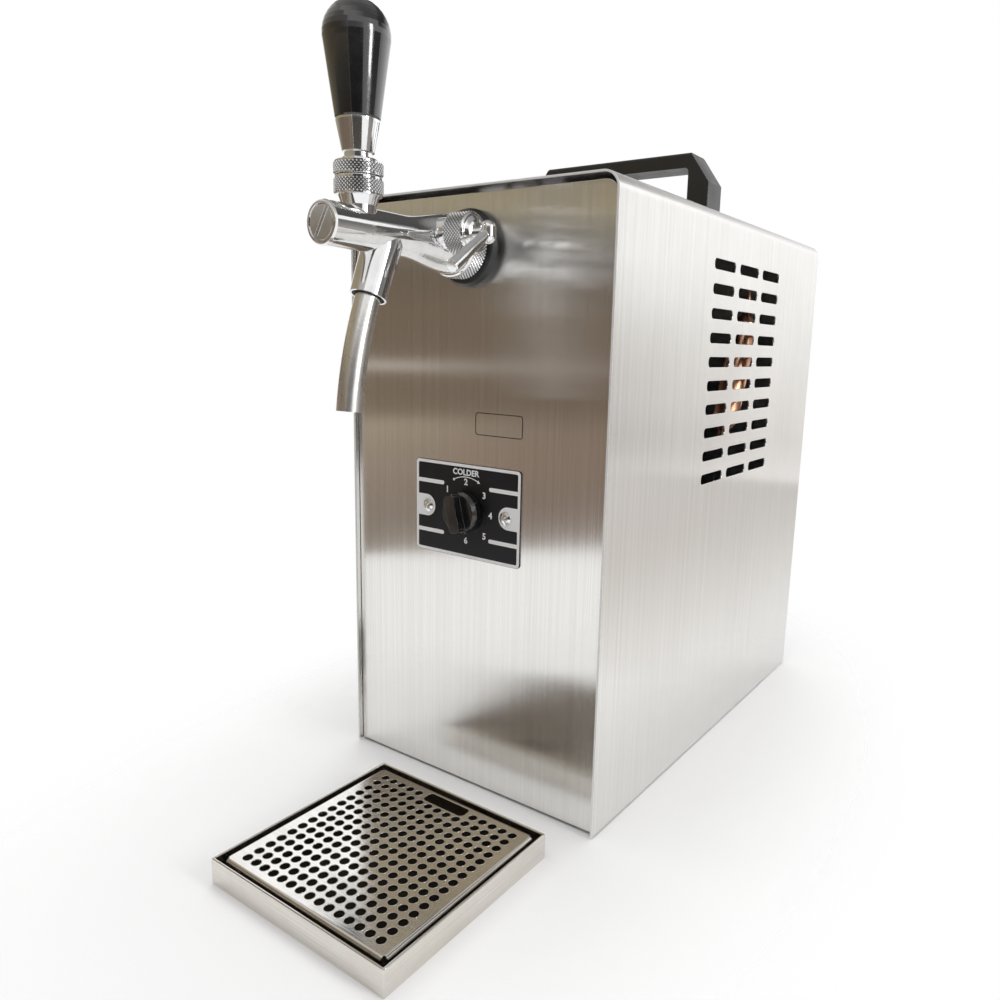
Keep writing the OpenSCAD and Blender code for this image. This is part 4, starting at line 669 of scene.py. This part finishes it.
# %% [markdown]
# ## Knurls
#
# A knurl is rolled into a ring by two hardened wheels, and leaves rows of small pyramids, each row half a
# step on from the last. A bump in the material would leave the ring's outline smooth, so the teeth are real.
# Hundreds of equal teeth are work for Geometry Nodes: circles of points on a line of rows, a four-sided cone
# on every point, turned to look outwards. One tree with named inputs makes all four rings.

# %% Helpers for geometry trees
def tree_of(name, inputs):
    # An empty geometry tree with its named inputs and one output
    tree = bpy.data.node_groups.new(name, "GeometryNodeTree")
    tree.interface.new_socket("Geometry", in_out="OUTPUT", socket_type="NodeSocketGeometry")
    names = {}
    for label, kind in inputs:
        socket = tree.interface.new_socket(label, in_out="INPUT", socket_type="NodeSocket" + kind)
        names[label] = socket.identifier
    return tree, tree.nodes.new("NodeGroupInput").outputs, tree.nodes.new("NodeGroupOutput"), names


def point_place(tree):
    # The X, Y and Z of each point
    return split(tree, put(tree, "GeometryNodeInputPosition").outputs[0])


def joined(tree, x, y, z):
    # A vector from its three parts
    return put(tree, "ShaderNodeCombineXYZ", {0: x, 1: y, 2: z}).outputs[0]


def turned(tree, x, y, z):
    # A rotation from three angles
    return put(tree, "FunctionNodeEulerToRotation", {0: joined(tree, x, y, z)}).outputs[0]


def dressed(tree, geometry, smooth, finish):
    # Instances made real, shaded and given their finish
    real = put(tree, "GeometryNodeRealizeInstances", {0: geometry}).outputs[0]
    shaded = put(tree, "GeometryNodeSetShadeSmooth", {"Geometry": real, "Shade Smooth": smooth}).outputs[0]
    return put(tree, "GeometryNodeSetMaterial", {"Geometry": shaded, "Material": finish}).outputs[0]


print("geometry helpers ready")

# %% Tree that rolls a knurl
knurl_tree, given, result, knurl_inputs = tree_of("knurl_band", [
    ("Geometry", "Geometry"), ("Radius", "Float"), ("Around", "Int"), ("Rows", "Int"),
    ("Row Step", "Float"), ("Tooth", "Float"), ("Finish", "Material")])
tree = knurl_tree
step = given["Row Step"]
half_turn = calc(tree, "DIVIDE", math.pi, given["Around"])
low = calc(tree, "MULTIPLY", more(tree, 0.5, given["Rows"], -0.5), step)
rows = put(tree, "GeometryNodeMeshLine", {
    "Count": given["Rows"], "Start Location": joined(tree, 0.0, 0.0, low),
    "Offset": joined(tree, 0.0, 0.0, step)}).outputs[0]
ins = {"Vertices": given["Around"], "Radius": given["Radius"]}
circle = put(tree, "GeometryNodeMeshCircle", ins).outputs[0]
odd = calc(tree, "MODULO", put(tree, "GeometryNodeInputIndex").outputs[0], 2.0)
stagger = turned(tree, 0.0, 0.0, calc(tree, "MULTIPLY", odd, half_turn))
ins = {"Points": rows, "Instance": circle, "Rotation": stagger}
circles = put(tree, "GeometryNodeInstanceOnPoints", ins).outputs[0]
points = put(tree, "GeometryNodeRealizeInstances", {0: circles}).outputs[0]
where = point_place(tree)
outward = turned(tree, 0.0, math.pi / 2, calc(tree, "ARCTAN2", where["Y"], where["X"]))
ins = {"Vertices": 4, "Radius Top": 0.0, "Radius Bottom": 1.0, "Depth": 1.0}
cone = put(tree, "GeometryNodeMeshCone", ins, fill_type="NGON").outputs[0]
ins = {"Geometry": cone, "Name": "tip", "Value": point_place(tree)["Z"]}
cone = put(tree, "GeometryNodeStoreNamedAttribute", ins, data_type="FLOAT", domain="POINT").outputs[0]
size = joined(tree, step, calc(tree, "MULTIPLY", half_turn, given["Radius"]), given["Tooth"])
ins = {"Points": points, "Instance": cone, "Rotation": outward, "Scale": size}
teeth = put(tree, "GeometryNodeInstanceOnPoints", ins).outputs[0]
feed(tree, result, {"Geometry": dressed(tree, teeth, False, given["Finish"])})
print("knurl_band:", len(tree.nodes), "nodes")


# %% Four knurled rings
def grown(name, tree, names, values, place):
    # Runs a geometry tree once and keeps its result as a plain mesh, with its place in the mesh
    host = add_mesh(name + "_host", [], [])
    modifier = host.modifiers.new("grow", "NODES")
    modifier.node_group = tree
    for label, value in values.items():
        modifier[names[label]] = value
    seen = host.evaluated_get(bpy.context.evaluated_depsgraph_get())
    mesh = bpy.data.meshes.new_from_object(seen)
    bpy.data.objects.remove(host)
    mesh.name = name
    mesh.transform(place)
    made = bpy.data.objects.new(name, mesh)
    scene.collection.objects.link(made)
    return made


TOOTH_PITCH = 1.9
TOOTH_RISE = 0.42
SUNK = 0.04


def knurl(name, centre, axis, radius, length, row_step, body):
    # A knurled band round an axis; sizes in mm
    around = round(math.tau * radius / TOOTH_PITCH)
    rows = max(1, round(length / row_step) - 1)
    values = {"Radius": (radius - SUNK) * MM, "Around": around, "Rows": rows,
              "Row Step": length / (rows + 1) * MM, "Tooth": TOOTH_RISE * TOOTH_PITCH * MM,
              "Finish": knurled_chrome}
    place = Vector((0, 0, 1)).rotation_difference(Vector(axis)).to_matrix().to_4x4()
    place.translation = Vector(centre) * MM
    made = grown(name, knurl_tree, knurl_inputs, values, place)
    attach(made, body)
    print(name, around, "by", rows, "teeth,", len(made.data.polygons), "faces")


LEVER_Y = -193.0
TAP_Z = 350.0
RING_R, GLAND_R, UNION_R = 11.85, 11.0, 18.0
UPWARDS, SIDEWAYS, FORWARDS = (0, 0, 1), (1, 0, 0), (0, -1, 0)
knurl("lower_ring_knurl", (0, LEVER_Y, 369.9), UPWARDS, RING_R, length=7.6, row_step=1.0, body="casing")
knurl("upper_ring_knurl", (0, LEVER_Y, 378.5), UPWARDS, RING_R, length=6.2, row_step=1.0, body="tap_lever")
knurl("gland_nut_knurl", (23.7, -138.5, 353.0), SIDEWAYS, GLAND_R, length=13.0, row_step=1.0, body="casing")
knurl("union_nut_knurl", (0, -116.9, TAP_Z), FORWARDS, UNION_R, length=11.0, row_step=1.4, body="casing")

# %% [markdown]
# ## Print on the dial plate
#
# The plate is black aluminium with the bare white left round the marks: a border, two tabs round the screws,
# four bars, six numbers, a word and an arc with an arrow. They could be painted on by the material, but such
# edges blur close by. Ink has a thickness, if a small one, so each mark is a flat piece that stands a hair
# off the plate. The letters are text turned into a mesh.

# %% Helpers for flat pieces
def round_loop(width, height, radius, steps=6):
    # Corner points of a rectangle with rounded corners, anticlockwise
    loop = []
    for sx, sy, first in ((1, 1, 0), (-1, 1, 90), (-1, -1, 180), (1, -1, 270)):
        for i in range(steps + 1):
            a = math.radians(first + 90 * i / steps)
            loop.append((sx * (width / 2 - radius) + radius * math.cos(a),
                         sy * (height / 2 - radius) + radius * math.sin(a)))
    return loop


def add_plate(bm, loop, low, high):
    # A flat piece with a straight edge all round
    floor_verts = [bm.verts.new((u, v, low)) for u, v in loop]
    roof_verts = [bm.verts.new((u, v, high)) for u, v in loop]
    bm.faces.new(roof_verts)
    bm.faces.new(list(reversed(floor_verts)))
    for i in range(len(loop)):
        j = (i + 1) % len(loop)
        bm.faces.new((floor_verts[i], floor_verts[j], roof_verts[j], roof_verts[i]))


def add_frame(bm, outer, inner, low, high):
    # A flat ring between two loops of as many points
    rings = [[bm.verts.new((u, v, w)) for u, v in loop] for loop, w in
             ((outer, low), (outer, high), (inner, high), (inner, low))]
    for a, b in ((0, 1), (1, 2), (2, 3), (3, 0)):
        for i in range(len(outer)):
            j = (i + 1) % len(outer)
            bm.faces.new((rings[a][i], rings[a][j], rings[b][j], rings[b][i]))


def on_front(x, y, z):
    # Flat pieces drawn in u and v stand on a face that looks to -Y; all in mm
    return Matrix(((MM, 0, 0, x * MM), (0, 0, -MM, y * MM), (0, MM, 0, z * MM), (0, 0, 0, 1)))


def keep(name, bm, place, material, body):
    # Ends a piece: its place goes into the mesh, its faces look outwards, and it rides on a body
    bmesh.ops.transform(bm, matrix=place, verts=bm.verts)
    bmesh.ops.recalc_face_normals(bm, faces=bm.faces)
    mesh = bpy.data.meshes.new(name)
    bm.to_mesh(mesh)
    bm.free()
    mesh.materials.append(material)
    made = bpy.data.objects.new(name, mesh)
    scene.collection.objects.link(made)
    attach(made, body)
    print(name, len(mesh.polygons), "faces")


print("flat helpers ready")


# %% Helpers for letters, bars and the arc
def add_words(bm, words, u, v, height, width, low, high):
    # Text as a mesh, fitted into a box round (u, v); a width of 0 keeps the font's own
    curve = bpy.data.curves.new(words, "FONT")
    curve.body = words
    curve.extrude = 0.5
    curve.offset = 0.03
    curve.resolution_u = 4
    made = bpy.data.objects.new(words, curve)
    scene.collection.objects.link(made)
    mesh = bpy.data.meshes.new_from_object(made.evaluated_get(bpy.context.evaluated_depsgraph_get()))
    bpy.data.objects.remove(made)
    xs = [p.co.x for p in mesh.vertices]
    ys = [p.co.y for p in mesh.vertices]
    tall = height / (max(ys) - min(ys))
    wide = width / (max(xs) - min(xs)) if width else tall
    middle_x = (max(xs) + min(xs)) / 2
    middle_y = (max(ys) + min(ys)) / 2
    for p in mesh.vertices:
        p.co = ((p.co.x - middle_x) * wide + u, (p.co.y - middle_y) * tall + v, high if p.co.z > 0 else low)
    bm.from_mesh(mesh)
    bpy.data.meshes.remove(mesh)


def on_circle(radius, degrees):
    # A point on a circle round the knob; degrees from the top, clockwise
    turn = math.radians(degrees)
    return (radius * math.sin(turn), radius * math.cos(turn))


def arc_band(radius, thick, first, last, steps=20):
    # A thin band along part of a circle
    turns = [first + (last - first) * i / steps for i in range(steps + 1)]
    outer = [on_circle(radius + thick / 2, a) for a in turns]
    inner = [on_circle(radius - thick / 2, a) for a in turns]
    return outer + list(reversed(inner))


def tongue(side, foot, end, v, radius, step):
    # A bar from the border at foot to a round end, drawn in steps of so many degrees; side -1 is the left
    loop = [(foot, v - radius), (foot, v + radius)]
    for degrees in range(0, 181, step):
        across, along = on_circle(radius, degrees)
        loop.append((end - across, v + along))
    return [(side * u, w) for u, w in loop]


print("print helpers ready")

# %% Marks on the dial
DIAL = (-2.0, -104.2, 188.5)
INK = (-0.02, 0.06)
BORDER_OUT, BORDER_IN = (85.6, 60.6, 2.4), (81.8, 56.8, 1.2)
BORDER_FOOT = 40.9
BAR_END, BAR_V, BAR_R, BAR_STEP = 19.8, 16.5, 1.3, 20
TAB_END, TAB_R, TAB_STEP = 33.5, 7.2, 12
NUMBERS = (("1", -15.8, 12.7), ("2", -0.3, 19.2), ("3", 14.6, 12.1), ("4", 19.8, 0.1), ("5", 15.0, -14.0),
           ("6", 0.0, -19.0))
NUMBER_H = 4.3
WORD_AT, WORD_H, WORD_W = (-0.3, 25.2), 4.0, 21.7
ARC_R, ARC_THICK, ARC_FIRST, ARC_LAST = 22.3, 0.55, -26, 25
DOT_AT, DOT_R, DOT_SIDES = -27.5, 0.85, 14
ARROW_TIP, ARROW_FOOT, ARROW_HALF = 30.5, 24.4, 1.1

bm = bmesh.new()
add_frame(bm, round_loop(*BORDER_OUT), round_loop(*BORDER_IN), *INK)
for side in (-1, 1):
    for v in (-BAR_V, BAR_V):
        add_plate(bm, tongue(side, BORDER_FOOT, BAR_END, v, BAR_R, BAR_STEP), *INK)
    add_plate(bm, tongue(side, BORDER_FOOT, TAB_END, 0, TAB_R, TAB_STEP), *INK)
for words, u, v in NUMBERS:
    add_words(bm, words, u, v, NUMBER_H, 0, *INK)
add_words(bm, "COLDER", *WORD_AT, WORD_H, WORD_W, *INK)
add_plate(bm, arc_band(ARC_R, ARC_THICK, ARC_FIRST, ARC_LAST), *INK)
dot_u, dot_v = on_circle(ARC_R, DOT_AT)
turns = [math.tau * i / DOT_SIDES for i in range(DOT_SIDES)]
add_plate(bm, [(dot_u + DOT_R * math.cos(a), dot_v + DOT_R * math.sin(a)) for a in turns], *INK)
add_plate(bm, [on_circle(ARC_R, ARROW_TIP), on_circle(ARC_R - ARROW_HALF, ARROW_FOOT),
               on_circle(ARC_R + ARROW_HALF, ARROW_FOOT)], *INK)
keep("dial_print", bm, on_front(*DIAL), dial_white, "casing")

# %% [markdown]
# ## Blank plate
#
# Such a cooler carries a small plate on its front. It is left blank here: a thin sheet of the same brushed
# steel with a fine dark line round it. A sunk groove would need a cut in the panel, so two flat pieces that
# stand a hair off it make the plate and the line.

# %% Front plate
PLATE_AT = (22.5, -103.4, 245.3)
LINE_OUT, LINE_IN = (36.6, 14.1, 2.2), (35.7, 13.2, 1.8)
PLATE = (35.5, 13.0, 1.7)
LINE_RISE, PLATE_RISE = (-0.02, 0.10), (-0.02, 0.04)
bm = bmesh.new()
add_frame(bm, round_loop(*LINE_OUT), round_loop(*LINE_IN), *LINE_RISE)
keep("front_plate_line", bm, on_front(*PLATE_AT), dial_black, "casing")
bm = bmesh.new()
add_plate(bm, round_loop(*PLATE), *PLATE_RISE)
keep("front_plate", bm, on_front(*PLATE_AT), casing_steel, "casing")

# %% [markdown]
# ## Rolled rim of the tray
#
# Sheet that hands touch has no raw edge: the tray's wall ends in a small rolled hem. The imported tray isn't
# changed, so the hem can't be a bevel on it. A round bead swept along the edge gives the bright line that the
# roll catches.

# %% Bead along the edge
def bead(name, width, depth, corner, radius, centre, body):
    # A round bar bent into a rounded rectangle; sizes in mm
    sides = 12
    loop = round_loop(width, depth, corner, steps=5)
    bm = bmesh.new()
    rings = []
    for i, (u, v) in enumerate(loop):
        before = Vector(loop[i - 1])
        after = Vector(loop[(i + 1) % len(loop)])
        along = (after - before).normalized()
        out = Vector((along.y, -along.x))
        ring = []
        for k in range(sides):
            a = math.tau * k / sides
            at = Vector((u, v)) + out * radius * math.cos(a)
            ring.append(bm.verts.new((at.x, at.y, radius * math.sin(a))))
        rings.append(ring)
    for i in range(len(rings)):
        here, there = rings[i], rings[(i + 1) % len(rings)]
        for k in range(sides):
            n = (k + 1) % sides
            bm.faces.new((here[k], there[k], there[n], here[n])).smooth = True
    place = Matrix.Translation(Vector(centre) * MM) @ Matrix.Diagonal((MM, MM, MM, 1))
    keep(name, bm, place, tray_steel, body)


HEM_R, HEM_CORNER, HEM_IN, HEM_DOWN = 0.72, 1.0, 1.2, 0.35
low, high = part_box("drip_tray")
tray_x, tray_y = [(high[i] + low[i]) / 2 / MM for i in range(2)]
wide, deep = [(high[i] - low[i]) / MM for i in range(2)]
hem_at = (tray_x, tray_y, high.z / MM - HEM_DOWN)
bead("tray_hem", wide - HEM_IN, deep - HEM_IN, HEM_CORNER, HEM_R, hem_at, "tray")
print("tray", round(wide, 1), "by", round(deep, 1), "mm")

# %% [markdown]
# ## Rims round the grid's holes
#
# A press that punches thin sheet leaves a small lip round each hole, and wiping polishes it, so every hole of
# the grid has a thin bright ring. A ring per hole by hand would be two hundred pieces. A geometry tree lays a
# net of points, deletes those that fall into the finger opening, and sets one swept ring on each of the rest.

# %% Tree that sets the rims
rim_tree, given, result, rim_inputs = tree_of("hole_rims", [
    ("Geometry", "Geometry"), ("Holes", "Int"), ("Pitch", "Float"), ("Radius", "Float"),
    ("Lip", "Float"), ("Opening", "Float"), ("Finish", "Material")])
tree = rim_tree
count = given["Holes"]
span = calc(tree, "MULTIPLY", calc(tree, "SUBTRACT", count, 1.0), given["Pitch"])
ins = {"Size X": span, "Size Y": span, "Vertices X": count, "Vertices Y": count}
net = put(tree, "GeometryNodeMeshGrid", ins).outputs[0]
where = point_place(tree)
half_pitch = calc(tree, "MULTIPLY", given["Pitch"], 0.5)
last_row = calc(tree, "SUBTRACT", calc(tree, "MULTIPLY", span, 0.5), half_pitch)
rear = calc(tree, "GREATER_THAN", where["Y"], last_row)
inside = calc(tree, "LESS_THAN", calc(tree, "ABSOLUTE", where["X"]), given["Opening"])
ins = {"Geometry": net, "Selection": calc(tree, "MULTIPLY", rear, inside)}
points = put(tree, "GeometryNodeDeleteGeometry", ins, domain="POINT").outputs[0]
ins = {"Resolution": 14, "Radius": given["Radius"]}
ring = put(tree, "GeometryNodeCurvePrimitiveCircle", ins).outputs[0]
ins = {"Resolution": 4, "Radius": given["Lip"]}
lip = put(tree, "GeometryNodeCurvePrimitiveCircle", ins).outputs[0]
ring = put(tree, "GeometryNodeCurveToMesh", {"Curve": ring, "Profile Curve": lip}).outputs[0]
rims = put(tree, "GeometryNodeInstanceOnPoints", {"Points": points, "Instance": ring}).outputs[0]
feed(tree, result, {"Geometry": dressed(tree, rims, True, given["Finish"])})
print("hole_rims:", len(tree.nodes), "nodes")

# %% Rims on the grid
RIM_DOWN = 0.08
low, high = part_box("drip_grid")
place = Matrix.Translation(((low.x + high.x) / 2, (low.y + high.y) / 2, high.z - RIM_DOWN * MM))
rims = grown("grid_hole_rims", rim_tree, rim_inputs, {
    "Holes": 15, "Pitch": 7.35 * MM, "Radius": 2.86 * MM, "Lip": 0.24 * MM, "Opening": 19.2 * MM,
    "Finish": tray_steel}, place)
bm = bmesh.new()
bm.from_mesh(rims.data)
bmesh.ops.recalc_face_normals(bm, faces=bm.faces)
bm.to_mesh(rims.data)
bm.free()
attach(rims, "grid")
print("rims:", len(rims.data.polygons), "faces")
